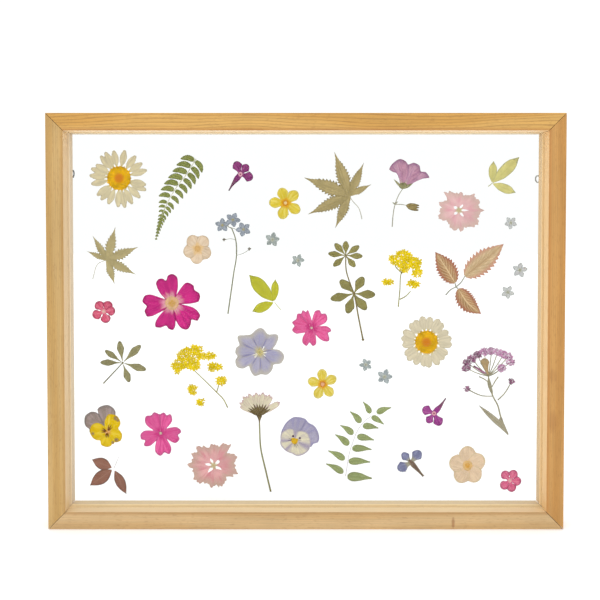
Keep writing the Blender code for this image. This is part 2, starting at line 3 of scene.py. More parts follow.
import bmesh
import bpy
import numpy as np
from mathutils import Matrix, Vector


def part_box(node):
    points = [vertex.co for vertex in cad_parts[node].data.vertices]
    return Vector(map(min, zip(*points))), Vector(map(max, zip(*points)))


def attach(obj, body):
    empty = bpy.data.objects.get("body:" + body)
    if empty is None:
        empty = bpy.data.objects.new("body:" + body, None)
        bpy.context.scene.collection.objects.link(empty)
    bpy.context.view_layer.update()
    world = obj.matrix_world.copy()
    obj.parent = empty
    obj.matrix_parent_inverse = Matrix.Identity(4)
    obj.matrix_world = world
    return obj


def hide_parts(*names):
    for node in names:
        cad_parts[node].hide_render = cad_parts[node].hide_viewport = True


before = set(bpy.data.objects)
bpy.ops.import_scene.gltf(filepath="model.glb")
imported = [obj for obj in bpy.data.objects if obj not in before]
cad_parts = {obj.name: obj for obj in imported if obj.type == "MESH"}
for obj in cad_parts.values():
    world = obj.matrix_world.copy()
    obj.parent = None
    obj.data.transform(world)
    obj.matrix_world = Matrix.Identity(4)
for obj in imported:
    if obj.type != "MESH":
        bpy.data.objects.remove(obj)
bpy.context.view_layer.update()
mm = 0.001
scene = bpy.context.scene
scene.view_settings.view_transform = "Standard"
print("loaded", len(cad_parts), "nodes")


class Value:
    # one output socket; an expression on values adds its Math nodes
    def __init__(self, paint, socket):
        self.paint = paint
        self.socket = socket

    def join(self, operation, first, second=0.0):
        return self.paint.add("ShaderNodeMath", {"operation": operation}, {0: first, 1: second})

    def __add__(self, other):
        return self.join("ADD", self, other)

    def __sub__(self, other):
        return self.join("SUBTRACT", self, other)

    def __rsub__(self, other):
        return self.join("SUBTRACT", other, self)

    def __mul__(self, other):
        return self.join("MULTIPLY", self, other)

    def __abs__(self):
        return self.join("ABSOLUTE", self)

    __radd__ = __add__
    __rmul__ = __mul__

    def wave(self):
        return self.join("SINE", self)

    def part(self):
        return self.join("FRACT", self)

    def larger(self, other):
        return self.join("MAXIMUM", self, other)


class Paint:
    # a material and the nodes that colour it
    def __init__(self, name, roughness, level=0.12):
        self.material = bpy.data.materials.new(name)
        self.material.use_nodes = True
        self.tree = self.material.node_tree
        self.shader = self.tree.nodes["Principled BSDF"]
        self.shader.inputs["Roughness"].default_value = roughness
        self.shader.inputs["Specular IOR Level"].default_value = level

    def plug(self, socket, value):
        if isinstance(value, Value):
            self.tree.links.new(value.socket, socket)
        else:
            socket.default_value = value

    def add(self, kind, settings, sockets, output=0):
        node = self.tree.nodes.new(kind)
        for name, setting in settings.items():
            setattr(node, name, setting)
        for name, value in sockets.items():
            self.plug(node.inputs[name], value)
        return Value(self, node.outputs[output])

    def mix(self, factor, first, second, blend="MIX"):
        return self.add("ShaderNodeMix", {"data_type": "RGBA", "blend_type": blend},
                        {0: factor, 6: first, 7: second}, 2)

    def step(self, value, low, high):
        # 0 below low, 1 above high, smooth between
        return self.add("ShaderNodeMapRange", {"interpolation_type": "SMOOTHSTEP"},
                        {"Value": value, "From Min": low, "From Max": high})

    def noise(self, place, scale, detail=2.0):
        return self.add("ShaderNodeTexNoise", {}, {"Vector": place, "Scale": scale, "Detail": detail})

    def place(self, x, y, z):
        return self.add("ShaderNodeCombineXYZ", {}, {0: x, 1: y, 2: z})

    def coordinates(self, output):
        # 2 is the piece's UV map, 3 its Object coordinates
        return self.add("ShaderNodeTexCoord", {}, {}, output)

    def axes(self, place):
        return [self.add("ShaderNodeSeparateXYZ", {}, {0: place}, axis) for axis in range(3)]

    def bump(self, height, distance, strength=1.0):
        relief = self.add("ShaderNodeBump", {},
                          {"Height": height, "Distance": distance * mm, "Strength": strength})
        self.plug(self.shader.inputs["Normal"], relief)

    def colour(self, value):
        self.plug(self.shader.inputs["Base Color"], value)


def tint(code):
    # a colour from its hexadecimal code, made linear
    parts = [int(code[start:start + 2], 16) / 255 for start in (0, 2, 4)]
    return (*[p / 12.92 if p <= 0.04045 else ((p + 0.055) / 1.055) ** 2.4 for p in parts], 1.0)


def plantPaint(name, body, edge=None, edgeFrom=0.75, tipFrom=0.86, heart=None, heartReach=0.3, streak=None,
               streaks=9,
               rib=None, ribs=0, slant=0.35, mottle=0.12, speck=None, toneRange=0.1, roughness=0.8):
    # dried tissue: the body colour, lighter or darker with a cloud, a fine grain and each part's own tone,
    # then streaks along it, ribs, a coloured edge or tip, a coloured base and specks
    paint = Paint(name, roughness)
    u, v, _ = paint.axes(paint.coordinates(2))
    across = abs(u * 2.0 - 1.0)
    place = paint.coordinates(3)
    tone = paint.add("ShaderNodeAttribute", {"attribute_name": "tone"}, {}, 2)
    cloud = paint.noise(place, 240.0, 3.0)  # about 4 mm across
    fine = paint.noise(place, 1300.0, 2.0)  # under 1 mm across
    light = cloud * (3.0 * mottle) + fine * (2.0 * mottle) + tone * toneRange + (0.95 - 2.5 * mottle
                                                                                 - toneRange / 2)
    colour = paint.mix(1.0, tint(body), paint.place(light, light, light), "MULTIPLY")
    relief = fine
    if streak:
        lines = paint.noise(paint.place(u * streaks, v * 1.3, tone * 9.0), 1.0, 3.0)
        mask = paint.step(lines, 0.45, 0.62)
        colour = paint.mix(mask * 0.7, colour, tint(streak))
        relief = relief + lines
    if rib:
        mask = 1.0 - paint.step(across, 0.02, 0.1)
        if ribs:
            side = abs((v * ribs - across * ribs * slant).part() - 0.5)
            mask = mask.larger((1.0 - paint.step(side, 0.04, 0.2)) * 0.7)
        colour = paint.mix(mask * 0.8, colour, tint(rib))
        relief = relief + mask
    if edge:
        mask = paint.step(v, tipFrom, 0.99)
        if edgeFrom:
            mask = mask.larger(paint.step(across, edgeFrom, 1.0))
        colour = paint.mix(mask * (cloud * 0.6 + 0.6), colour, tint(edge))
    if heart:
        mask = 1.0 - paint.step(v + (fine - 0.5) * 0.16, heartReach * 0.4, heartReach)
        colour = paint.mix(mask, colour, tint(heart))
    if speck:
        mask = paint.step(fine, 0.56, 0.66)
        colour = paint.mix(mask * 0.7, colour, tint(speck))
    paint.colour(colour)
    paint.bump(relief, 0.06, 0.5)
    return paint.material


def plantPaints(name, rows):
    # a material for each row of a piece's table: the part it is for, and its look
    return [plantPaint(name + " " + part, **look) for part, look in rows.items()]


shapes = {
    # half: half width along the blade, from 0 at its base to 1 at its tip; corner: how much shorter the
    # tip's sides are than its middle, as an ellipse; notches: (place across, depth, width) cut into the tip
    "round": {"half": ((0, .46), (.25, .62), (.55, .92), (.8, 1), (1, 1)), "corner": .46},
    "oval": {"half": ((0, .35), (.2, .66), (.5, .94), (.8, 1), (1, .97)), "corner": .5},
    "spoon": {"half": ((0, .28), (.25, .42), (.6, .9), (.82, 1), (1, .98)), "corner": .5},
    "clawed": {"half": ((0, .5), (.12, .36), (.26, .42), (.48, .9), (.8, 1), (1, 1)), "corner": .46},
    "star": {"half": ((0, .55), (.35, .8), (.65, 1), (.85, .95), (1, .8)), "corner": .42},
    "ray": {"half": ((0, .2), (.1, .3), (.3, .8), (.6, 1), (.85, .84), (1, .66)), "corner": .28,
            "notches": ((-.15, .03, .2),)},
    "strap": {"half": ((0, .2), (.08, .3), (.25, .85), (.5, 1), (1, .95)), "corner": .32,
              "notches": ((-.3, .03, .15), (.35, .04, .15))},
    "fan": {"half": ((0, .12), (.3, .36), (.6, .7), (.85, 1), (1, .95)), "corner": .25},
    "bud": {"half": ((0, .2), (.25, .85), (.6, 1), (1, .85)), "corner": .1,
            "notches": ((-.4, .22, .14), (.3, .26, .14))},
    "leaf": {"half": ((0, .06), (.12, .45), (.35, .95), (.5, 1), (.7, .78), (.88, .34), (.96, .1),
                      (1, .015))},
    "ellipse": {"half": ((0, .08), (.12, .42), (.35, .9), (.6, 1), (.8, .84), (.93, .5), (1, .16)),
                "corner": .15},
    "ovate": {"half": ((0, .2), (.06, .5), (.2, .86), (.4, 1), (.62, .84), (.82, .46), (.94, .16), (1, .02))},
    "lance": {"half": ((0, .1), (.2, .7), (.4, 1), (.7, .75), (.9, .3), (1, .02))},
    "pinna": {"half": ((0, .5), (.15, .9), (.4, 1), (.65, .82), (.85, .5), (.95, .25), (1, .06))},
    "tear": {"half": ((0, .34), (.06, .7), (.26, 1), (.5, .84), (.75, .44), (.9, .24), (1, .12))},
    "paddle": {"half": ((0, .1), (.2, .24), (.5, .78), (.75, 1), (1, .9)), "corner": .4},
    "lobe": {"half": ((0, .34), (.15, .56), (.42, 1), (.6, .8), (.76, .42), (.88, .16), (1, .02))},
    "stalk": {"half": ((0, 1), (.5, .9), (1, .75))},
    "tube": {"half": ((0, .4), (.25, 1), (.6, .66), (.9, .4), (1, .45))},
    "spur": {"half": ((0, .9), (.25, 1), (.5, .66), (.8, .3), (1, .2))},
}

spreads = {
    # how much of its share of the circle a petal takes, from the centre to the rim
    "full": ((0, .9), (.3, 1), (1, 1.02)),
    "claw": ((0, .7), (.14, .5), (.25, .56), (.36, .92), (.44, 1.04), (1, 1.03)),
    "neck": ((0, .2), (.16, .3), (.3, .5), (.42, 1), (1, 1.02)),
    "bell": ((0, 1.5), (.12, 1.25), (.3, .76), (.5, .66), (.8, .92), (1, 1)),
}


def smoothThrough(knots, at):
    # a cubic through (position, value...) knots, each slope taken from its two neighbours
    knots = np.asarray(knots, float)
    return cubic(knots[:, 0], knots[:, 1:], np.gradient(knots[:, 1:], knots[:, 0], axis=0), at)


def roundThrough(knots, at):
    # a cubic through (position, value) knots that never swings past them: level at each peak and dip,
    # and elsewhere the harmonic mean of the slopes on both sides
    x, y = np.asarray(knots, float).T
    steps = np.diff(y) / np.diff(x)
    before, after = steps[:-1], steps[1:]
    same = before * after > 0
    slope = np.zeros(len(x))
    slope[1:-1][same] = (2 * before * after / np.where(same, before + after, 1.0))[same]
    slope[0], slope[-1] = steps[0], steps[-1]
    return cubic(x, y[:, None], slope[:, None], at)[:, 0]


def jaggedThrough(knots, at):
    # between (position, value) knots: low + (high - low) * t^1.7, with t from the lower knot to the higher,
    # so the peaks are pointed and the dips round
    x, y = np.asarray(knots, float).T
    index = np.clip(np.searchsorted(x, at, side="right") - 1, 0, len(x) - 2)
    t = (at - x[index]) / (x[index + 1] - x[index])
    low, high = np.minimum(y[index], y[index + 1]), np.maximum(y[index], y[index + 1])
    return low + (high - low) * np.where(y[index + 1] > y[index], t, 1.0 - t) ** 1.7


def cubic(x, y, slope, at):
    # the Hermite cubic between neighbouring knots
    index = np.clip(np.searchsorted(x, at, side="right") - 1, 0, len(x) - 2)
    width = (x[index + 1] - x[index])[:, None]
    t = (at - x[index])[:, None] / width
    return (y[index] * (2 * t ** 3 - 3 * t ** 2 + 1) + slope[index] * width * (t ** 3 - 2 * t ** 2 + t)
            + y[index + 1] * (3 * t ** 2 - 2 * t ** 3) + slope[index + 1] * width * (t ** 3 - t ** 2))


def gridFaces(rows, columns):
    # the quads of a grid, counter-clockwise from the front when columns run right and rows run up
    row, column = np.meshgrid(np.arange(rows - 1), np.arange(columns - 1), indexing="ij")
    first = (row * columns + column).ravel()
    return np.stack([first, first + 1, first + columns + 1, first + columns], 1)


def ray(heading, length, start=0.0, centre=(0.0, 0.0), bend=0.0):
    # three points from start to length out from a centre; bend pushes the middle one to the right
    turn = math.radians(heading)
    out, side = np.array([math.sin(turn), math.cos(turn)]), np.array([math.cos(turn), -math.sin(turn)])
    middle = out * (start + length) / 2 + side * bend
    return np.array([out * start, middle, out * length]) + np.array(centre)


def blade(path, width, shape, paint=0, layer=0.0, tilt=0.0, bow=0.08, ridge=0.0, teeth=(0, 0.0), across=9,
          along=15):
    # a petal, leaf or stem: u runs across it and v along it. A point is the path's point at
    # v * (1 - (1 - reach(u)) * v^3), moved sideways by u * half width(v), and bowed in depth by 1 - u^2.
    # Teeth widen and narrow its sides by a saw wave of v; a ridge raises the middle by exp(-(u / 0.12)^2)
    look = shapes[shape]
    path = np.asarray(path, float)
    marks = np.append(0.0, np.cumsum(np.hypot(*np.diff(path, axis=0).T)))
    fineMarks = np.linspace(0.0, 1.0, 65)
    line = smoothThrough(np.column_stack([marks / marks[-1], path]), fineMarks)
    aim = np.gradient(line, axis=0)
    aim /= np.hypot(aim[:, :1], aim[:, 1:])
    t = np.linspace(0.0, 1.0, along)
    rows = t if teeth[0] else 1.0 - (1.0 - t) ** 1.3
    v, u = np.meshgrid(rows, np.sin(np.linspace(-np.pi / 2, np.pi / 2, across)), indexing="ij")
    half = roundThrough(look["half"], rows)[:, None] * width / 2
    count, depth = teeth
    if count:
        saw = depth * ((v * count) % 1.0 - 0.5) * np.abs(u) ** 3
        half = half * (1.0 + saw * np.minimum(1.0, 4 * (1 - v)))
    reach = 1.0 - look.get("corner", 0.0) * (1.0 - np.sqrt(np.maximum(0.0, 1.0 - u ** 2)))
    for middle, deep, wide in look.get("notches", ()):
        reach = reach - deep * np.exp(-((u - middle) / wide) ** 2)
    s = v * (1.0 - (1.0 - reach) * v ** 3)
    x, z = (np.interp(s, fineMarks, line[:, axis]) for axis in (0, 1))
    aimX, aimZ = (np.interp(s, fineMarks, aim[:, axis]) for axis in (0, 1))
    depthY = (-bow * (1.0 - u ** 2) * np.sin(np.pi * v) - ridge * np.exp(-(u / 0.12) ** 2)
              + tilt * u + 0.02 * np.sin(7.0 * v + 5.0 * u + 40.0 * layer) - layer)
    points = np.stack([x + u * half * aimZ, depthY, z - u * half * aimX], -1).reshape(-1, 3)
    return {"points": points, "uv": np.stack([u / 2 + 0.5, v], -1).reshape(-1, 2),
            "faces": gridFaces(along, across), "paint": paint}


def stem(path, width, paint, along=12, bow=0.08):
    # a blade that tapers a little along its path
    return blade(path, width, "stalk", paint, bow=bow, across=5, along=along)


def aroundCircle(outline):
    # the outline's (heading, radius) knots with enough repeated on both sides to close the circle
    knots = np.array(sorted(((heading % 360.0), radius) for heading, radius in outline), float)
    return np.vstack([knots - [360.0, 0.0], knots, knots + [360.0, 0.0]])


def sector(outline, start, end, spread="full", paint=0, centre=(0.0, 0.0), layer=0.0, tilt=0.06, bow=0.06,
           sharp=False, scale=1.0, across=61, along=17):
    # a petal cut from a flower's outline between two headings: heading = middle + u * half * spread(v),
    # radius = v * outline(heading), so the petals together keep the flower's outline. A sharp outline has
    # pointed teeth, and two sines of the heading make its rim ragged
    t = np.linspace(0.0, 1.0, along)
    v, u = np.meshgrid(1.0 - (1.0 - t) ** 1.3, np.linspace(-1.0, 1.0, across), indexing="ij")
    wide = roundThrough(spreads[spread], v[:, 0])[:, None]
    heading = (start + end) / 2 + u * wide * (end - start) / 2
    knots = aroundCircle(outline)
    rim = (jaggedThrough if sharp else roundThrough)(knots, heading.ravel()).reshape(v.shape)
    turn = np.radians(heading)
    if sharp:
        rim = rim * (1.0 + 0.07 * (np.abs(np.sin(11.0 * turn)) - 0.6) + 0.025 * np.sin(37.0 * turn))
    radius = v * rim * scale
    depth = (-bow * (1.0 - u ** 2) * np.sin(np.pi * v) + tilt * u - layer
             + 0.03 * np.sin(9.0 * v + 6.0 * u + start) * v)
    x, z = centre[0] + radius * np.sin(turn), centre[1] + radius * np.cos(turn)
    return {"points": np.stack([x, depth, z], -1).reshape(-1, 3),
            "uv": np.stack([u / 2 + 0.5, v], -1).reshape(-1, 2), "faces": gridFaces(along, across),
            "paint": paint}


def sectors(outline, bounds, spread="full", necks=(), layer=0.0, **more):
    # one petal between each two neighbouring bounds, in three layers by turns; necks lists the petals that
    # are narrow near the centre
    return [sector(outline, start, end, "neck" if index in necks else spread,
                   layer=layer + 0.03 * (index % 3), **more)
            for index, (start, end) in enumerate(zip(bounds, bounds[1:]))]


def rosette(outline, paint=0, centre=(0.0, 0.0), layer=0.0, bow=0.1, rings=10, steps=72, grain=0.0):
    # a round form: radius = ring * outline(heading), domed in depth by 1 - ring^2; grain adds florets
    # where two sets of spirals cross, and keeps them as its tone
    heading = np.linspace(0.0, 360.0, steps + 1)
    radius = roundThrough(aroundCircle(outline), heading)
    ring, turn = np.meshgrid(np.linspace(0.0, 1.0, rings), np.radians(heading), indexing="ij")
    bumps = np.cos(13 * turn - 22 * ring ** 0.8) * np.cos(21 * turn + 26 * ring ** 0.8)
    depth = -bow * (1.0 - ring ** 2) - layer - grain * bumps * np.minimum(1.0, 4 * ring)
    x = centre[0] + radius * ring * np.sin(turn)
    z = centre[1] + radius * ring * np.cos(turn)
    part = {"points": np.stack([x, depth, z], -1).reshape(-1, 3),
            "uv": np.stack([turn / (2 * np.pi), ring], -1).reshape(-1, 2),
            "faces": gridFaces(rings, steps + 1), "paint": paint}
    if grain:
        part["tone"] = (bumps / 2 + 0.5).ravel()
    return part


def disc(radius, paint=0, centre=(0.0, 0.0), layer=0.0, bow=0.1):
    return rosette([(60 * k, radius * (1.0 + 0.04 * math.sin(2.7 * k))) for k in range(6)], paint, centre,
                   layer, bow,
                   rings=5, steps=24)


def smallFlowers(centres, size, paint=0, petals=4, seed=1, layer=0.15, spread=0.12):
    # many small flowers at once: radius(heading) = size * (0.3 + 0.7 * |cos(petals * heading / 2)|),
    # each with its own turn, size and depth
    chance = np.random.default_rng(seed)
    centres = np.asarray(centres, float)
    count = len(centres)
    ring, turn = np.meshgrid(np.linspace(0.0, 1.0, 3), np.linspace(0.0, 2 * np.pi, 6 * petals + 1),
                             indexing="ij")
    own = (size * chance.uniform(0.75, 1.25, count))[:, None, None]
    radius = own * ring * (0.3 + 0.7 * np.abs(np.cos(petals * turn / 2)))
    spun = turn + chance.uniform(0.0, 2 * np.pi, count)[:, None, None]
    squash = chance.uniform(0.65, 1.0, count)[:, None, None]
    x = centres[:, 0, None, None] + radius * np.sin(spun)
    z = centres[:, 1, None, None] + radius * squash * np.cos(spun)
    offset = (chance.uniform(-spread, spread, count) - layer)[:, None, None]
    depth = offset - 0.05 * (1 - ring) * np.ones(x.shape)
    grid = gridFaces(3, 6 * petals + 1)
    faces = (grid[None] + (np.arange(count) * ring.size)[:, None, None]).reshape(-1, 4)
    uv = np.broadcast_to(np.stack([turn / (2 * np.pi), ring], -1), (count, *ring.shape, 2))
    return {"points": np.stack([x, depth, z], -1).reshape(-1, 3), "uv": uv.reshape(-1, 2), "faces": faces,
            "paint": paint, "tone": np.repeat(chance.uniform(0.0, 1.0, count), ring.size)}


def meshFrom(name, points, faces, uv, tone, faceSlots):
    # one mesh from arrays; points that meet at a pole or seam are welded
    mesh = bpy.data.meshes.new(name)
    mesh.from_pydata((points * mm).tolist(), [], faces.tolist())
    mesh.polygons.foreach_set("material_index", faceSlots.astype(np.int32))
    mesh.polygons.foreach_set("use_smooth", np.ones(len(faces), bool))
    layer = mesh.uv_layers.new(name="UVMap")
    layer.data.foreach_set("uv", uv[faces.ravel()].astype(np.float32).ravel())
    mesh.attributes.new("tone", "FLOAT", "POINT").data.foreach_set("value", tone.astype(np.float32))
    shape = bmesh.new()
    shape.from_mesh(mesh)
    bmesh.ops.remove_doubles(shape, verts=shape.verts, dist=2e-7)
    shape.to_mesh(mesh)
    shape.free()
    return mesh


tissue = {
    # in mm: how thick dried tissue is, and how far it may lie from the middle of the gap between the panes
    "thickness": 0.1, "room": 0.38,
}


def press(node, parts, paints):
    # joins the parts of a specimen, stretches them to its CAD node's space, and lays them in its plane
    chance = np.random.default_rng(len(node) * 31 + len(parts))
    low, high = (np.array(corner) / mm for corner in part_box(node))
    points = np.concatenate([part["points"] for part in parts])
    reach = points.max(0) - points.min(0)
    grow = (high - low) / np.maximum(reach, 0.001)
    middle = (points.max(0) + points.min(0)) / 2
    centre = (low + high) / 2
    points = (points - middle) * [grow[0], 1.0, grow[2]] + centre
    room = tissue["room"]
    depth = np.clip(points[:, 1] - centre[1], -room, room - tissue["thickness"])
    points[:, 1] = centre[1] + depth
    faces, start = [], 0
    for part in parts:
        faces.append(part["faces"] + start)
        start += len(part["points"])
    tone = np.concatenate([part.get("tone", np.full(len(part["points"]), chance.uniform()))
                           for part in parts])
    slots = np.concatenate([np.full(len(part["faces"]), part["paint"]) for part in parts])
    uv = np.concatenate([part["uv"] for part in parts])
    pieceName = "pressed_" + node
    mesh = meshFrom(pieceName, points, np.concatenate(faces), uv, tone, slots)
    for material in paints:
        mesh.materials.append(material)
    piece = bpy.data.objects.new(pieceName, mesh)
    scene.collection.objects.link(piece)
    body = piece.modifiers.new("tissue", "SOLIDIFY")
    body.thickness = tissue["thickness"] * mm
    body.offset = -1.0
    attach(piece, "root")
    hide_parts(node)


def petals(rows, width, shape, start=0.0, centre=(0.0, 0.0), paint=0, tilt=0.05, layer=0.0, step=0.015,
           **more):
    # one blade for each (heading, length) or (heading, length, width)
    blades = []
    for index, row in enumerate(rows):
        path = ray(row[0], row[1], start, centre)
        wide = row[2] if len(row) > 2 else width
        blades.append(blade(path, wide, shape, paint, layer + step * (index % 5), tilt, **more))
    return blades


goldenAngle = 137.508
daisies = {
    "daisy_upper_left": {
        "width": 4.9, "shape": "ray", "hub": 7.7, "disc": 8.1, "body": "D9CCA6", "edge": "BBB094",
        "petals": ((12, 20), (37, 19.6), (57, 19.5), (74, 20.4), (104, 19.5), (114, 20.8), (133, 20.2),
                   (153, 20.4), (169, 21.2), (182, 20.4), (203, 19.8), (220, 20), (232, 19.8), (258, 20.1),
                   (275, 20.9), (289, 20.8), (300, 18.8), (320, 20.3), (332, 20.6), (349, 19.7))},
    "daisy_right": {
        "width": 5.5, "shape": "strap", "hub": 7.9, "disc": 8.2, "body": "DCD0B4", "edge": "C3B89E",
        "petals": tuple((9 + 18 * k + 3 * math.sin(2.3 * k), 18.6 + 0.6 * math.sin(1.7 * k))
                        for k in range(20))},
}


def makeDaisy(node, look):
    name = node.replace("_", " ")
    paints = [
        plantPaint(name + " petal", look["body"], edge=look["edge"], edgeFrom=0.75, streak=look["edge"],
                   streaks=7,
                   heart="CDBF8C", heartReach=0.2, mottle=0.08),
        plantPaint(name + " disc", "E2B010", heart="D07C1E", heartReach=0.56, speck="C07408", mottle=0.34,
                   toneRange=1.1, roughness=0.9),
        plantPaint(name + " floret", "E4B414", heart="C98C10", heartReach=0.5, mottle=0.2, toneRange=0.6),
    ]
    parts = petals(look["petals"], look["width"], look["shape"], look["hub"], tilt=0.06)
    ragged = [(10 * k, look["disc"] * (1.0 + 0.02 * math.sin(2.2 * k))) for k in range(36)]
    parts.append(rosette(ragged, 1, layer=0.2, bow=0.1, rings=30, steps=160, grain=0.05))
    # open florets on the outer part of the disc: radius = disc * sqrt(share of its area), each turned from
    # the last by the golden angle
    share = np.linspace(0.3, 1.06, 120)
    turn = np.radians(goldenAngle) * np.arange(len(share))
    spots = look["disc"] * np.sqrt(share)[:, None] * np.stack([np.sin(turn), np.cos(turn)], 1)
    parts.append(smallFlowers(spots, 0.8, 2, 5, 6, layer=0.3, spread=0.04))
    press(node, parts, paints)


for node, look in daisies.items():
    makeDaisy(node, look)

sideDaisy = {
    "hub": (-7.1, 54.0),
    "stem": ((0, 0), (-3.2, 15), (-6.3, 30.5), (-7.0, 45), (-7.1, 49)),
    "petals": ((-66, 13.6), (-57, 15.2), (-48, 15.0), (-40, 16.6), (-33, 15.4), (-25, 16.2), (-15, 14.4),
               (-8, 15.6), (1, 14.2), (9, 15.8), (18, 14.4), (26, 15.6), (33, 15.0), (57, 15.6, 4.2)),
    "bracts": ((-61, 8.4), (-50, 9.2), (-37, 9.0), (-24, 9.6), (-11, 9.0), (2, 9.6), (15, 9.0), (28, 9.4),
               (41, 9.0), (54, 8.6)),
    "paints": {
        "petal": dict(body="E0D6BC", edge="BC949C", edgeFrom=0.7, streak="C8BCA0", streaks=7, mottle=0.1),
        "bract": dict(body="665636", edge="443824", edgeFrom=0.5, streak="8A7A54", streaks=5, mottle=0.2),
        "stem": dict(body="96946A", streak="6F6C48", streaks=3),
    },
}


def makeSideDaisy(look):
    paints = plantPaints("side daisy", look["paints"])
    x, z = look["hub"]
    parts = [stem((*look["stem"], (x, z)), 1.1, 2, 30, 0.1)]
    parts += petals(look["petals"], 3.1, "strap", 1.2, look["hub"], 0, 0.05, step=0.03)
    parts += petals(look["bracts"], 1.6, "lance", 0.0, (x, z - 1.2), 1, 0.02, layer=0.18, across=7, along=11)
    parts.append(blade(((x, z - 6), (x, z - 3.4), (x, z + 0.6)), 3.4, "fan", 1, 0.16))
    press("side_daisy", parts, paints)


makeSideDaisy(sideDaisy)
print("daisies done")

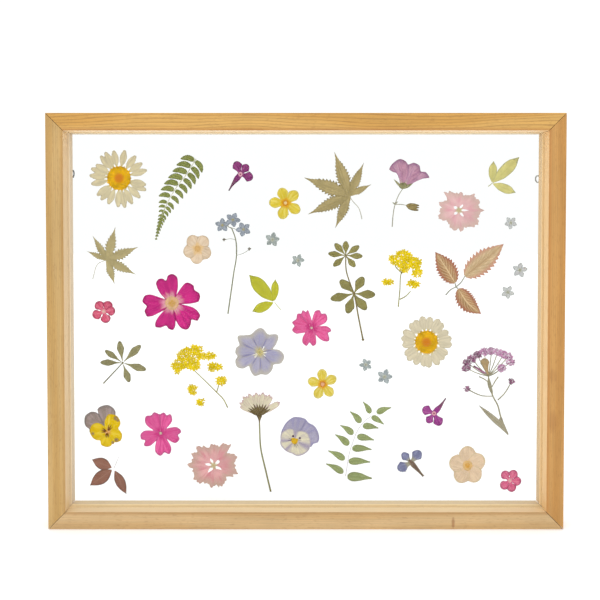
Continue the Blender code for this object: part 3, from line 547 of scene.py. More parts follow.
flowers = {
    # petals: (heading, length), or an outline of (heading, radius) and the headings that bound its petals;
    # necks: which petals narrow towards the centre; folds: the headings of the darker wedges;
    # spines: how long the stamens are; centre: the discs in the middle, each (radius, colour)
    "yellow_flower_upper": {
        "petals": ((-16, 10.8), (46, 11.3), (123, 11.5), (193, 11.4), (272, 11.1)), "width": 7.6,
        "shape": "round",
        "body": "D6BE36", "edge": "CBBD6C", "heart": "DCA018", "reach": 0.36, "streak": "EADA74",
        "centre": ((2.0, "D08C1C"), (1.1, "E2C890"))},
    "yellow_flower_lower": {
        "petals": ((-3, 11), (62, 11), (140, 11), (205, 11.2), (285, 11)), "width": 7.3, "shape": "round",
        "body": "D8C044", "edge": "CFC480", "heart": "DC9C1C", "reach": 0.36, "streak": "EADB80",
        "centre": ((2.1, "D48A3C"), (1.2, "E0AC88"))},
    "blossom_upper": {
        "petals": ((-34, 10), (39, 10), (118, 10), (186, 10), (253, 10)), "width": 9.2, "shape": "oval",
        "body": "DEC4A6", "edge": "BFA687", "heart": "DFBC88", "reach": 0.42, "streak": "E6D2BA",
        "centre": ((2.0, "DDB070"),)},
    "blossom_lower": {
        "petals": ((0, 13), (69, 13), (143, 13), (213, 13), (281, 13)), "width": 12.0, "shape": "oval",
        "body": "DDC2A4", "edge": "CFBA96", "heart": "E0BE94", "reach": 0.3, "streak": "E6CEB0",
        "centre": ((3.3, "E0B878"), (1.8, "DCA650"))},
    "red_flower_left": {
        "petals": ((-35, 8), (35, 8), (85, 7.6), (165, 8), (245, 8)), "width": 6.7, "shape": "clawed",
        "edgeFrom": 0.6, "tipFrom": 0.76,
        "body": "D25272", "edge": "93304E", "heart": "E0949C", "reach": 0.2, "streak": "E58498",
        "centre": ((0.8, "E9C7B8"),)},
    "red_flower_right": {
        "petals": ((-40, 8), (30, 8), (95, 8), (165, 8), (230, 8)), "width": 6.5, "shape": "clawed",
        "edgeFrom": 0.6, "tipFrom": 0.76,
        "body": "D8648C", "edge": "A04468", "heart": "E49AAA", "reach": 0.2, "streak": "E48CA4",
        "centre": ((0.8, "EFC6BC"),)},
    "pink_flower_middle": {
        "outline": ((3, 4.8), (8, 8.4), (12, 11), (25, 12.5), (35, 11.3), (46, 13), (61, 11.9), (71, 9.2),
                    (77, 5.2), (84, 10.1), (99, 13), (107, 11.4), (126, 14.1), (137, 11.8), (145, 7.7),
                    (149, 5.4), (155, 6.9), (164, 10.7), (175, 11.8), (188, 9.6), (196, 12.2), (210, 11.5),
                    (221, 9.2), (234, 5.4), (244, 8), (249, 10.6), (264, 12.8), (276, 11.4), (285, 13.2),
                    (300, 11.6), (314, 12.9), (324, 11.6), (333, 12.7), (340, 11), (348, 11.8), (353, 8.3)),
        "bounds": (-126, -40, 3, 77, 149, 234),
        "body": "E2649C", "edge": "BC5A88", "heart": "C63A7A", "reach": 0.45, "streak": "D2427C",
        "centre": ((1.3, "C8578A"), (0.7, "D9E0C0"))},
    "pink_flower_lower": {
        "outline": ((-48, 15), (-41, 15.8), (-28, 14.3), (-18, 15.4), (-3, 13.4), (9, 14.7), (19, 13.4),
                    (27, 15), (37, 13.5), (45, 11), (51, 5.3), (63, 9.2), (70, 12.3), (86, 14.6), (97, 12.4),
                    (107, 14), (124, 12.6), (130, 8.7), (133, 6.1), (145, 13.1), (158, 16), (169, 14),
                    (181, 16), (196, 13.9), (202, 10.9), (211, 6.5), (221, 12), (234, 14.7), (245, 12.3),
                    (254, 14.7), (264, 14.6), (277, 12), (290, 5.5), (301, 12.2)),
        "bounds": (-70, -2, 51, 133, 211, 290),
        "body": "E0609C", "edge": "B65486", "heart": "C83C80", "reach": 0.45, "streak": "CC3E82",
        "centre": ((1.4, "C0648C"), (0.8, "C9C8A4"))},
    "delphinium": {
        "outline": ((2, 16.7), (25, 13.6), (47, 17.1), (63, 12.9), (76, 9.5), (84, 13.9), (102, 17.4),
                    (115, 16.8), (133, 12.8), (143, 14.5), (162, 16.1), (177, 15.2), (193, 16.7), (207, 14.5),
                    (220, 12.3), (227, 16.4), (240, 19.1), (252, 18.3), (260, 16.2), (270, 17.4), (280, 17),
                    (289, 15.4), (305, 19), (317, 16), (332, 13.9)),
        "bounds": (-27, 27, 78, 136, 220, 260, 292, 333), "necks": (1, 2, 4), "spines": 5.0,
        "spineCode": "CFC084",
        "folds": (27, 80, 134, 178, 214, 258, 295, 333), "foldCode": "8C88B0",
        "body": "B0ABC0", "edge": "BAB3A8", "edgeFrom": None, "tipFrom": 0.66, "heart": "C6C4C0",
        "reach": 0.3,
        "streak": "9896BC", "centre": ((2.0, "CDBF82"), (1.0, "B8AC6A"))},
    "larkspur_upper": {
        "outline": ((-40, 16.7), (-24, 14.7), (-6, 12.2), (7, 13.2), (19, 11.4), (44, 15.9), (55, 14.4),
                    (66, 17), (74, 14), (91, 16.9), (107, 14.4), (128, 17), (144, 15.3), (157, 13.2),
                    (175, 15.6), (184, 13.5), (193, 15.6), (209, 13.5), (224, 11.5), (247, 15.8), (267, 13.5),
                    (279, 12.9), (292, 15.6), (306, 11.6), (315, 11.7)),
        "bounds": (-53, 32, 90, 147, 225, 307), "spread": "claw", "sharp": True, "spines": 2.2,
        "body": "E3B9B9", "edge": "CDB0A6", "edgeFrom": None, "tipFrom": 0.5, "heart": "D2B49C",
        "reach": 0.25, "streak": "DA98A4",
        "centre": ((1.1, "CBB490"),)},
    "larkspur_lower": {
        "outline": ((-42, 18.4), (-30, 16.3), (-16, 13.5), (-3, 16), (12, 14.4), (25, 17.6), (40, 19.5),
                    (47, 13.7), (66, 18.7), (87, 15.3), (109, 18.1), (121, 15.7), (130, 12.7), (147, 15.1),
                    (166, 16.5), (172, 13.9), (183, 16.4), (202, 13.7), (218, 16.2), (232, 17.5), (256, 15.3),
                    (271, 19), (288, 15.6), (298, 19), (306, 15.7)),
        "bounds": (-78, -23, 51, 119, 218, 282), "spread": "claw", "sharp": True, "spines": 2.4,
        "body": "E0AAAA", "edge": "C2A496", "edgeFrom": None, "tipFrom": 0.45, "heart": "D0AC94",
        "reach": 0.25, "streak": "D27E8C",
        "centre": ((1.1, "C4AE80"),)},
    "magenta_rose": {
        "outline": ((0, 19.7), (11, 18), (17, 13.9), (23, 9.8), (28, 6.5), (31, 13), (34, 16.5), (39, 17.8),
                    (51, 18.8), (59, 17.8), (72, 19.8), (86, 18.2), (91, 13), (96, 6.5), (101, 14.2),
                    (109, 19.1), (115, 21), (124, 21), (130, 17.3), (139, 19.2), (149, 20.5), (158, 18.7),
                    (164, 15.2), (168, 12), (172, 15.4), (179, 18.1), (187, 17.5), (195, 15.8), (207, 18.6),
                    (215, 19.5), (221, 17.4), (225, 13.8), (229, 7.5), (234, 11.1), (237, 15.8), (243, 19.4),
                    (253, 19.5), (263, 17.4), (274, 20.2), (284, 19.4), (292, 15.7), (296, 8), (302, 5.5),
                    (309, 9.9), (316, 14.4), (322, 17.5), (331, 18.6), (339, 17.8), (345, 15.8), (352, 18.9)),
        "bounds": (-58, 28, 96, 168, 229, 302), "spines": 7.6, "spineCode": "E0B49C",
        "body": "D02C84", "edge": "94185C", "heart": "E2A6B4", "reach": 0.5, "streak": "AC1A6C",
        "speck": "B01C6E",
        "centre": ((4.6, "DDB87A"), (2.6, "D2A450"))},
}


def makeFlower(node, look):
    name = node.replace("_", " ")
    paints = [plantPaint(name + " petal", look["body"], edge=look["edge"], edgeFrom=look.get("edgeFrom", 0.8),
                         tipFrom=look.get("tipFrom", 0.86), heart=look["heart"],
                         heartReach=look["reach"], streak=look["streak"], streaks=10, speck=look.get("speck"),
                         mottle=0.12, toneRange=0.16)]
    if "outline" in look:
        parts = sectors(look["outline"], look["bounds"], look.get("spread", "full"), look.get("necks", ()),
                        sharp=look.get("sharp", False))
    else:
        parts = petals(look["petals"], look["width"], look["shape"], 0.3, tilt=0.07, step=0.02, across=15,
                       along=19)
    for index, (radius, code) in enumerate(look["centre"], 1):
        paints.append(plantPaint(name + " centre %d" % index, code, mottle=0.2, speck=look["heart"]))
        parts.append(disc(radius, index, layer=0.16 + 0.05 * index, bow=0.06))
    if "folds" in look:
        # narrow darker wedges where two petals lie over each other
        paints.append(plantPaint(name + " fold", look["foldCode"], edge=look["edge"], edgeFrom=0.3,
                                 tipFrom=0.6))
        parts += [sector(look["outline"], place - 6, place + 6, paint=len(paints) - 1, layer=0.12, scale=0.95)
                  for place in look["folds"]]
    if "spines" in look:
        paints.append(plantPaint(name + " stamens", look.get("spineCode", "CDBE96"), mottle=0.1))
        parts += petals([(17.4 * k, look["spines"] * (1.0 + 0.2 * math.sin(5 * k))) for k in range(21)], 0.5,
                        "lance", 0.4,
                        paint=len(paints) - 1, layer=0.2, across=5, along=7)
    press(node, parts, paints)


for node, look in flowers.items():
    makeFlower(node, look)

florets = {
    # the heading of each floret's first petal, and its colour
    "turns": (10, 20, 40, 10, 30, 50, 15),
    "colours": ("949C98", "9EA6A2", "C8C8C8", "C6C6C8", "C8C8C6", "9EA8A8", "9AA2A6"),
}


def makeFlorets(look):
    for number, (turn, code) in enumerate(zip(look["turns"], look["colours"]), 1):
        node = "floret_%d" % number
        low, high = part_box(node)
        radius = (high.x - low.x) / mm / 2
        rows = [(turn + 72 * k + 4 * math.sin(number + 2 * k),
                 radius * (1.0 + 0.04 * math.sin(3 * number + k)))
                for k in range(5)]
        paints = [plantPaint("floret %d petal" % number, code, edge="84908E", edgeFrom=0.7, heart="B6B8AA",
                             heartReach=0.32, streak="BEC4C2", streaks=5, mottle=0.14),
                  plantPaint("floret %d centre" % number, "ACAC98", mottle=0.2, speck="86866E")]
        parts = petals(rows, radius * 0.66, "star", 0.1, across=11, along=13, tilt=0.07)
        parts.append(disc(radius * 0.13, 1, layer=0.2, bow=0.05))
        press(node, parts, paints)


makeFlorets(florets)
print("small flowers done")

pansy = {
    "back": ((-83, 12.7), (-76, 15.7), (-63, 18), (-54, 18.9), (-42, 18.2), (-30, 15.5), (-27, 14),
             (-24, 17.1), (-13, 18.3), (-1, 18.6), (11, 17.4), (21, 15.2), (32, 10)),
    "backBounds": (-92, -27, 32),
    "front": ((-90, 12.3), (-72, 12.1), (-55, 10.4), (-41, 7.4), (-31, 4.3), (-9, 9.1), (5, 12.3), (29, 12.8),
              (46, 11.8), (60, 10.3), (73, 7.8), (104, 10.4), (123, 11), (140, 9.8), (156, 8.2), (165, 10),
              (182, 10.8), (203, 10.5), (220, 8.2), (233, 9.8), (251, 11.4)),
    "frontBounds": (-138, -31, 76, 156, 222),
    "paints": {
        "back petal": dict(body="97867E", edge="7C726E", edgeFrom=0.85, streak="AA9898", streaks=8,
                           mottle=0.18),
        "front petal": dict(body="E2BE08", edge="CAA60C", edgeFrom=0.85, heart="D89A44", heartReach=0.32,
                            streak="E8D044", mottle=0.18),
        "markings": dict(body="7C501C", mottle=0.3),
        "patch": dict(body="A2865A", edge="BC9C30", edgeFrom=None, tipFrom=0.4, mottle=0.3, speck="86705A"),
    },
}


def makePansy(look):
    paints = plantPaints("pansy", look["paints"])
    parts = sectors(look["back"], look["backBounds"], bow=0.1)
    parts += sectors(look["front"], look["frontBounds"], layer=0.12, paint=1, bow=0.1)
    parts += [disc(1.7, 3, (5.9, 9.3), 0.25, 0.02), disc(1.2, 3, (7.2, 8.0), 0.24, 0.02),
              disc(1.6, 3, (6.2, -5.8), 0.25, 0.02), disc(1.1, 3, (3.6, -7.6), 0.25, 0.02),
              disc(1.1, 3, (-10.2, -1.4), 0.25, 0.02)]
    parts += petals([(-95, 4.8), (-75, 5.4), (-55, 4.6), (12, 5.4), (30, 5.8), (48, 5), (168, 4.4),
                     (188, 4.8), (206, 4.2)], 0.75, "lance", 0.8, paint=2, layer=0.3, across=5, along=7)
    press("pansy", parts, paints)


makePansy(pansy)

viola = {
    "back": ((2, 17.1), (23, 17.3), (37, 16.2), (51, 17.2), (63, 17.5), (79, 17.4), (94, 16.4), (101, 13.3),
             (112, 12.4), (240, 6), (272, 8), (293, 10.5), (319, 12.4), (339, 14.7)),
    "backBounds": (-88, 30, 112),
    "front": ((-88, 10), (-62, 10.8), (-36, 10.2), (-14, 9), (8, 6.6), (34, 8.6), (60, 10.6), (85, 11.2),
              (112, 11.6), (126, 12), (145, 11.8), (169, 11.4), (194, 9.6), (230, 9.8), (256, 10.4)),
    "frontBounds": (-136, -92, 5, 116, 224),
    "paints": {
        "back petal": dict(body="AAA4BA", edge="928CAC", edgeFrom=0.85, streak="9690B4", mottle=0.16,
                           heart="BFB8BC", heartReach=0.5),
        "front petal": dict(body="E0D8BC", edge="A498AE", edgeFrom=0.45, streak="C4BAB2", streaks=12,
                            mottle=0.16, heart="D2BE8C", heartReach=0.25),
        "eye": dict(body="D8AE24", speck="B87C1C", mottle=0.2),
        "spot": dict(body="583A5C", mottle=0.3),
    },
}


def makeViola(look):
    paints = plantPaints("viola", look["paints"])
    parts = sectors(look["back"], look["backBounds"], bow=0.1)
    parts += sectors(look["front"], look["frontBounds"], layer=0.12, paint=1, bow=0.1, tilt=0.1)
    parts.append(rosette(((0, 1.9), (60, 2.4), (120, 2.2), (180, 2.8), (240, 2.5), (300, 2.8)), 2,
                         layer=0.26))
    parts += [disc(0.75, 3, (-1.2, 3.2), 0.3, 0.03), disc(0.75, 3, (3.6, 1.8), 0.3, 0.03)]
    parts += petals([(150, 5.0), (168, 5.6), (186, 5.2), (-70, 4.8), (-88, 5), (86, 4.8), (68, 4.6)], 0.36,
                    "lance", 2.0,
                    paint=3, layer=0.28, across=5, along=7)
    press("viola", parts, paints)


makeViola(viola)

spurred = {
    "purple_flower_upper": {
        "spur": (217, 14.4), "petals": ((-22, 9.8, 7.4), (40, 8.8, 6.4), (106, 9.6, 7.2)),
        "body": "7C2E6A", "edge": "642654", "streak": "9C5084", "spurCode": "54304A", "eye": "D9A0B4"},
    "purple_flower_lower": {
        "spur": (38, 14.5), "petals": ((-67, 9.4, 7.8), (-145, 8.8, 6.2), (151, 10.4, 7.8)),
        "body": "923684", "edge": "742C68", "streak": "B0609C", "spurCode": "6E3A58", "eye": "E0A0B0"},
}


def makeSpurred(node, look):
    name = node.replace("_", " ")
    paints = [
        plantPaint(name + " petal", look["body"], edge=look["edge"], edgeFrom=0.8, streak=look["streak"],
                   mottle=0.16),
        plantPaint(name + " spur", look["spurCode"], edge="5A4450", heart=look["body"], heartReach=0.6,
                   streak="8A5A70",
                   streaks=4, mottle=0.2),
        plantPaint(name + " eye", look["eye"], speck="B06080", mottle=0.2),
        plantPaint(name + " throat", "7A3A40", mottle=0.2),
    ]
    heading, length = look["spur"]
    parts = [blade(ray(heading, length, 0.0, bend=0.4), 4.2, "spur", 1, -0.05)]
    parts += petals(look["petals"], 6, "spoon", 0.4, across=11, along=15)
    parts += [disc(1.7, 2, layer=0.22, bow=0.05), disc(0.5, 3, layer=0.3, bow=0.03)]
    press(node, parts, paints)


for node, look in spurred.items():
    makeSpurred(node, look)

blueFlower = {
    "tube": ((-1.4, 1.6), (0, 0), (3.4, -3.8), (8.1, -9.1)),
    "petals": ((-118, 10.0, 7.2), (-43, 8.6, 5.6), (38, 9.8, 7.2)),
    "paints": {
        "petal": dict(body="787B9C", edge="5E6282", edgeFrom=0.7, heart="A09C88", heartReach=0.5,
                      streak="9698B8", streaks=6, mottle=0.16),
        "tube": dict(body="7A6456", streak="9A8E74", streaks=4, mottle=0.25),
    },
}


def makeBlueFlower(look):
    paints = plantPaints("blue flower", look["paints"])
    parts = petals(look["petals"], 6, "spoon", 0.2, across=11, along=15)
    parts.append(blade(look["tube"], 3.4, "tube", 1, 0.16))
    press("blue_flower", parts, paints)


makeBlueFlower(blueFlower)

bellflower = {
    "stem": ((0, 0), (0.6, 8), (1.9, 15.3), (6.5, 25)),
    "hub": (7.2, 25.9),
    "outline": ((-40, 14), (-35, 16.3), (-17, 19.2), (-6, 20.3), (7, 18.5), (12, 16.9), (24, 19.3),
                (34, 19.5), (46, 17.1), (55, 19.4), (67, 19.7), (70, 19)),
    "folds": ((-26, 2), (14, 40), (48, 64)),
    "sepals": ((-44, 9.0, 1.7), (62, 7.6, 2.0), (-22, 4.4, 2.0), (20, 4.4, 2.0)),
    "paints": {
        "petal": dict(body="BC8CA2", edge="926C86", edgeFrom=0.88, streak="9E6E8C", streaks=16, mottle=0.2,
                      heart="BEA6A0", heartReach=0.3),
        "fold": dict(body="C498AC", edge="9A7090", edgeFrom=0.7, streak="A27496", streaks=6, mottle=0.2,
                     heart="C2ACA4", heartReach=0.4),
        "calyx": dict(body="94906A", edge="74704E", streak="868258", mottle=0.2),
        "stem": dict(body="A8A492", streak="8A8672", streaks=3),
        "bud": dict(body="86764A", edge="625432", streak="A3925E", streaks=6, mottle=0.25),
    },
}


def makeBellflower(look):
    paints = plantPaints("bell", look["paints"])
    parts = [stem((*look["stem"], look["hub"]), 0.7, 3, 24, 0.12)]
    parts.append(sector(look["outline"], -36, 68, "bell", 0, look["hub"], bow=0.12, across=61))
    parts += [sector(look["outline"], start, end, "bell", 1, look["hub"], 0.08, 0.1, scale=0.98)
              for start, end in look["folds"]]
    parts += petals(look["sepals"], 2, "lance", 0.0, look["hub"], 2, layer=0.24, across=7)
    x, z = look["hub"]
    parts.append(rosette(((0, 3.4), (60, 3.6), (110, 1.6), (180, 0.9), (250, 1.6), (300, 3.0)), 2,
                         (x, z + 0.8), 0.2, 0.05))
    parts += [stem(((1.9, 15.3), (5.8, 15.3), (9.9, 14.6)), 0.6, 3),
              blade(((9.6, 14.6), (14, 13.6), (18.5, 12.8)), 5.0, "bud", 4, 0.05, across=17),
              blade(((1.9, 15.2), (0.6, 16.4), (0, 16.6)), 0.9, "lance", 2),
              blade(((1.9, 15), (3, 16.6), (4, 17.2)), 0.8, "lance", 2)]
    press("bellflower", parts, paints)


makeBellflower(bellflower)
print("large flowers done")

forgetMeNot = {
    "stem": ((0, 0), (2.1, 15), (4.1, 29.8), (6, 42.5), (5.1, 55.3), (2.8, 61.8)),
    "flowers": ((-3.7, 64.2, 5.1), (3.5, 68.1, 5.3), (10.8, 61.2, 5.3)),
    "buds": (((5.2, 53.8), (1.2, 54.4), (-2.6, 53.3)), ((6.0, 42.4), (10.6, 43.8), (14.8, 46.6))),
    "paints": {
        "petal": dict(body="9299A4", edge="6E7682", edgeFrom=0.62, heart="9A9A90", heartReach=0.3,
                      streak="A8AEB6", streaks=5, mottle=0.24),
        "stem": dict(body="8E8E76", streak="70705A", streaks=3),
        "eye": dict(body="B4A878", speck="7E7250", mottle=0.2),
        "bud": dict(body="8A8276", edge="66605A", mottle=0.2),
    },
}


def makeForgetMeNot(look):
    paints = plantPaints("forget-me-not", look["paints"])
    parts = [stem(look["stem"], 1.0, 1, 36)]
    parts += [stem((look["stem"][-1], (0.5, 63), (x * 0.7, z * 0.995), (x, z)), 0.4, 1, 9)
              for x, z, _ in look["flowers"]]
    for index, (x, z, radius) in enumerate(look["flowers"]):
        parts += petals([(72 * k + 24 * index, radius) for k in range(5)], radius * 0.68, "star", 0.1, (x, z),
                        0, 0.04,
                        layer=0.05 * index)
        parts.append(disc(0.6, 2, (x, z), 0.24, 0.04))
    for route in look["buds"]:
        parts.append(stem(route, 0.36, 1))
        parts += petals(((-50, 1.3), (0, 1.7), (50, 1.6), (180, 0.8)), 1.0, "oval", 0.0, route[-1], 3)
    press("forget_me_not_sprig", parts, paints)


makeForgetMeNot(forgetMeNot)


def scattered(areas, count, seed, gap, holes=()):
    # points spread over ellipses (x, z, half width, half height), none nearer to another than the gap,
    # and none in the holes (x, z, radius)
    chance = np.random.default_rng(seed)
    spots = []
    size = np.array([area[2] * area[3] for area in areas])
    for _ in range(count * 12):
        x, z, wide, tall = areas[chance.choice(len(areas), p=size / size.sum())]
        turn, out = chance.uniform(0, 2 * math.pi), math.sqrt(chance.uniform())
        spot = (x + wide * out * math.cos(turn), z + tall * out * math.sin(turn))
        clear = all(math.dist(spot, other) > gap for other in spots)
        if clear and all(math.dist(spot, hole[:2]) > hole[2] for hole in holes):
            spots.append(spot)
        if len(spots) == count:
            break
    return spots


yellowSprigs = {
    "yellow_sprig_upper": {
        "seed": 4, "count": 125,
        "areas": ((-3.0, 31.6, 3.4, 3.0), (3.0, 34, 5.0, 2.8), (5, 30, 6.6, 3.8), (4.2, 25.8, 3.0, 3.0),
                  (11.2, 29, 3.8, 3.4), (12.8, 22.4, 2.8, 2.4), (-6.9, 16.8, 2.9, 2.0),
                  (10.4, 15.4, 3.2, 2.0)),
        "holes": ((0, 32.1, 1.5),),
        "stems": (((0, 0), (1.0, 11), (1.8, 22), (3.4, 27)), ((1, 5), (4.8, 7), (8.3, 10.4)),
                  ((1.7, 23), (-2, 27), (-3, 31)), ((1.8, 22), (6, 26), (10, 28)))},
    "yellow_sprig_lower": {
        "seed": 9, "count": 165,
        "areas": ((-26.6, 34.6, 8.0, 5.4), (-34.6, 28.0, 3.4, 4.2), (-21.4, 39.4, 4.0, 2.6),
                  (-23.6, 28.6, 4.0, 3.0), (-29, 29.4, 3.6, 2.4), (-17, 34.4, 3.0, 1.8),
                  (-12.6, 34.8, 3.8, 2.2), (-9.2, 27.2, 4.4, 2.6), (-4.3, 17.8, 3.0, 2.8),
                  (-24.4, 12, 2.8, 3.2), (-18.6, 3.6, 2.2, 2.4)),
        "holes": ((-33.3, 30.6, 1.6), (-8.0, 24.8, 1.2)),
        "stems": (((0, 0), (-2.4, 5), (-8, 10.8), (-22.5, 24.6)), ((-7.6, 10.6), (-6.6, 13.6), (-6.0, 16)),
                  ((-22.5, 24.6), (-26, 29), (-28, 34)))},
}


def makeYellowSprig(node, look):
    name = node.replace("_", " ")
    paints = [
        plantPaint(name + " flower", "EAD008", edge="DCBE0C", edgeFrom=None, heart="CCA60C", heartReach=0.5,
                   mottle=0.24, toneRange=0.34),
        plantPaint(name + " stem", "9C9650", streak="7C763A", streaks=3, mottle=0.2),
    ]
    parts = [stem(route, 0.75, 1, 18) for route in look["stems"]]
    spots = scattered(look["areas"], look["count"], look["seed"], 1.25, look["holes"])
    parts.append(smallFlowers(spots, 1.8, 0, 4, look["seed"]))
    press(node, parts, paints)


for node, look in yellowSprigs.items():
    makeYellowSprig(node, look)

umbel = {
    "stem": ((0, 0), (-5.2, 13.9), (-6.9, 20.8), (-10, 27), (-12.8, 37.5), (-13.2, 41.6)),
    "band": ((-28.2, 47.6), (-27.2, 51.1), (-24.2, 54.1), (-20.7, 57.1), (-16.2, 59.1), (-11.2, 59.4),
             (-7.2, 58.6), (-3.2, 57.1), (-0.2, 55.6), (1.3, 51.6), (-4.5, 47.4)),
    "buds": ((-27.4, 32.6), (2.4, 38.2)),
    "twigs": (((-27.4, 32.6), (-21.9, 29.5), (-17.7, 27.8), (-10.4, 27.4)),
              ((-6.9, 24.6), (-2.4, 29.5), (1.4, 36.1)), ((-19.4, 41.3), (-16, 39.6), (-13.2, 37.1)),
              ((-6.6, 41.3), (-8.8, 38), (-10.8, 34))),
    "leaf": ((0, 0), (-4.2, 6.0), (-9.6, 11.4), (-19.6, 21)),
    "paints": {
        "flower": dict(body="BE88AC", edge="86527C", edgeFrom=None, tipFrom=0.7, heart="CC9EBC",
                       heartReach=0.5, mottle=0.25, toneRange=0.8),
        "dark flower": dict(body="94607E", edge="5A3048", edgeFrom=None, tipFrom=0.7, heart="986888",
                            heartReach=0.5, mottle=0.25, toneRange=0.9),
        "stem": dict(body="A09A80", streak="7E7864", streaks=3, mottle=0.2),
        "leaf": dict(body="A8A088", edge="8A8478", streak="968C74", streaks=6, rib="86806A"),
        "bract": dict(body="B49A72", edge="9A8464", streak="A0865E", streaks=5),
    },
}


def makeUmbel(look):
    paints = plantPaints("umbel", look["paints"])
    parts = [stem(look["stem"], 1.1, 2, 30),
             blade(look["stem"][:2:-1], 2.6, "lance", 2, 0.02)]
    x, z = look["stem"][-1]
    for farX, farZ in look["band"]:
        parts.append(stem(((x, z), ((x + farX) / 2, (z + farZ) / 2 - 0.8), (farX, farZ)), 0.7, 2, 9))
    parts += [blade(((-14.2, 42.7), (-18.4, 45.8), (-23.2, 48.9)), 1.6, "stalk", 1),
              blade(((-13.4, 42.6), (-15, 48.4), (-16.4, 54.4)), 6.0, "fan", 4, 0.02)]
    parts += [stem(route, 0.85, 2) for route in look["twigs"]]
    areas = [(farX, farZ, 2.7, 2.5) for farX, farZ in look["band"]]
    parts.append(smallFlowers(scattered(areas[:4], 80, 3, 0.8), 1.0, 1, 5, 3))
    parts.append(smallFlowers(scattered(areas[4:], 150, 5, 0.85), 1.0, 0, 5, 5))
    parts.append(smallFlowers(scattered([(bx, bz, 2.0, 1.9) for bx, bz in look["buds"]], 26, 8, 0.7), 1.0, 1,
                              5, 8))
    parts += [blade(look["leaf"], 4.0, "lance", 3, 0.02, along=24),
              blade(((-3.0, 4.0), (-4.6, 8.0), (-4.6, 13.4)), 3.6, "lance", 3, 0.0)]
    press("umbel_sprig", parts, paints)


makeUmbel(umbel)
print("sprigs done")

leafSprigs = {
    # each leaf is (heading, length, width); stalks are paths
    "pale_leaf_trio": {
        "leaves": ((4, 15.3, 6), (47, 26.6, 8.4), (111, 18.2, 6.3)), "shape": "ellipse", "start": 0.8,
        "stalks": (((-2.6, -2.2), (-1, -1), (0.6, 0.4)),), "stalkWidth": 0.7,
        "body": "D0C882", "edge": "A8A87C", "rib": "BCB66C", "stalkCode": "C4C49A"},
    "lime_leaf_trio": {
        "leaves": ((-45.5, 25.4, 9.5), (2, 14.9, 5.5), (-110.7, 17.1, 6.5)), "shape": "ellipse", "start": 1.0,
        "stalks": (((4.5, -5), (2, -2.4), (0, 0)),), "stalkWidth": 0.6,
        "body": "BCBA34", "edge": "A2A43C", "rib": "A4A22C", "stalkCode": "D0D29C"},
    "maroon_leaf_trio": {
        "leaves": ((-68.2, 15.6, 7.6), (-124.7, 19.3, 8.6), (153.3, 18.5, 6.6)), "shape": "leaf",
        "start": 1.6,
        "stalks": (((0, 0), (1.6, 3.4), (3.5, 7.6)),), "stalkWidth": 0.35,
        "body": "8C5E4E", "edge": "5C463E", "rib": "A88474", "stalkCode": "CFC4C8"},
    "olive_leaf_sprig": {
        "leaves": ((-89, 15.2, 4.6), (-53.8, 14.8, 4.2), (-8, 15.4, 4.8), (44.7, 17.4, 5.2), (107, 16.6, 5.2),
                   (162, 14.3, 4.8)), "shape": "paddle", "start": 1.2, "hub": 0.8,
        "stalks": (((-13.3, -14.5), (-6.6, -7.2), (0, 0)),), "stalkWidth": 0.9,
        "body": "928C64", "edge": "78724E", "rib": "7E7856", "stalkCode": "7C7860"},
    "woodruff_sprig": {
        "leaves": (), "shape": "paddle", "start": 0.3, "hub": 0.9,
        "whorls": (((-11.8, 61.2), ((0, 10.5), (-40, 11.5), (-83, 12), (-133, 11.5), (143, 10.5), (93, 11.5),
                                    (52, 11.5)), 4.6),
                   ((-6.2, 33.5), ((-43, 13.7), (27, 13.8), (93, 14.5), (145, 14.5), (197, 15.1),
                                   (256, 16.4)), 6.6)),
        "stalks": (((0, 0), (-3.2, 17), (-6.2, 33.5), (-8.8, 41), (-11.4, 50), (-11.8, 61.2)),),
        "stalkWidth": 1.1,
        "body": "948C54", "edge": "767046", "rib": "7E7846", "stalkCode": "86764E"},
}


def makeLeafSprig(node, look):
    name = node.replace("_", " ")
    paints = [
        plantPaint(name + " blade", look["body"], edge=look["edge"], edgeFrom=0.72, rib=look["rib"], ribs=9,
                   mottle=0.16, toneRange=0.2),
        plantPaint(name + " stalk", look["stalkCode"], streak=look["edge"], streaks=3),
    ]
    parts = [stem(route, look["stalkWidth"], 1, 20, 0.1) for route in look["stalks"]]
    parts += petals(look["leaves"], 6, look["shape"], look["start"], tilt=0.04, ridge=0.05, across=13,
                    along=23)
    for centre in [(0, 0), *[whorl[0] for whorl in look.get("whorls", ())]]:
        if "hub" in look:
            parts.append(disc(look["hub"], 1, centre, 0.15))
    for centre, rows, width in look.get("whorls", ()):
        parts += petals(rows, width, look["shape"], look["start"], centre, 0, 0.04, ridge=0.05, across=11,
                        along=19)
    press(node, parts, paints)


for node, look in leafSprigs.items():
    makeLeafSprig(node, look)

russetSpray = {
    # (path, width, paint number)
    "leaves": ((((6.5, 8.5), (0.4, 18.5), (-7.4, 29.9)), 13.6, 0),
               (((13.6, 13.2), (27, 24), (40.6, 35.5)), 15.6, 1),
               (((8.9, 4.2), (15.6, -5.6), (25, -13.2)), 12.4, 0)),
    "stalks": (((0, 0), (3.4, 3.6), (7.2, 5.6)), ((7.2, 5.6), (10.6, 8.6), (13.6, 13.2)),
               ((7.2, 5.6), (6.8, 7), (6.5, 8.6)), ((7.2, 5.6), (8, 5), (8.9, 4.2))),
    "paints": {
        "leaf": dict(body="B48C64", edge="A2604C", edgeFrom=0.3, rib="E4CCA0", ribs=8, slant=0.4,
                     streak="9C7A54", mottle=0.24),
        "pale leaf": dict(body="D4BA94", edge="C48C78", edgeFrom=0.4, rib="B2926A", ribs=8, slant=0.4,
                          streak="C2A47C", mottle=0.22),
        "stalk": dict(body="A3A392", streak="87877A", streaks=3),
    },
}


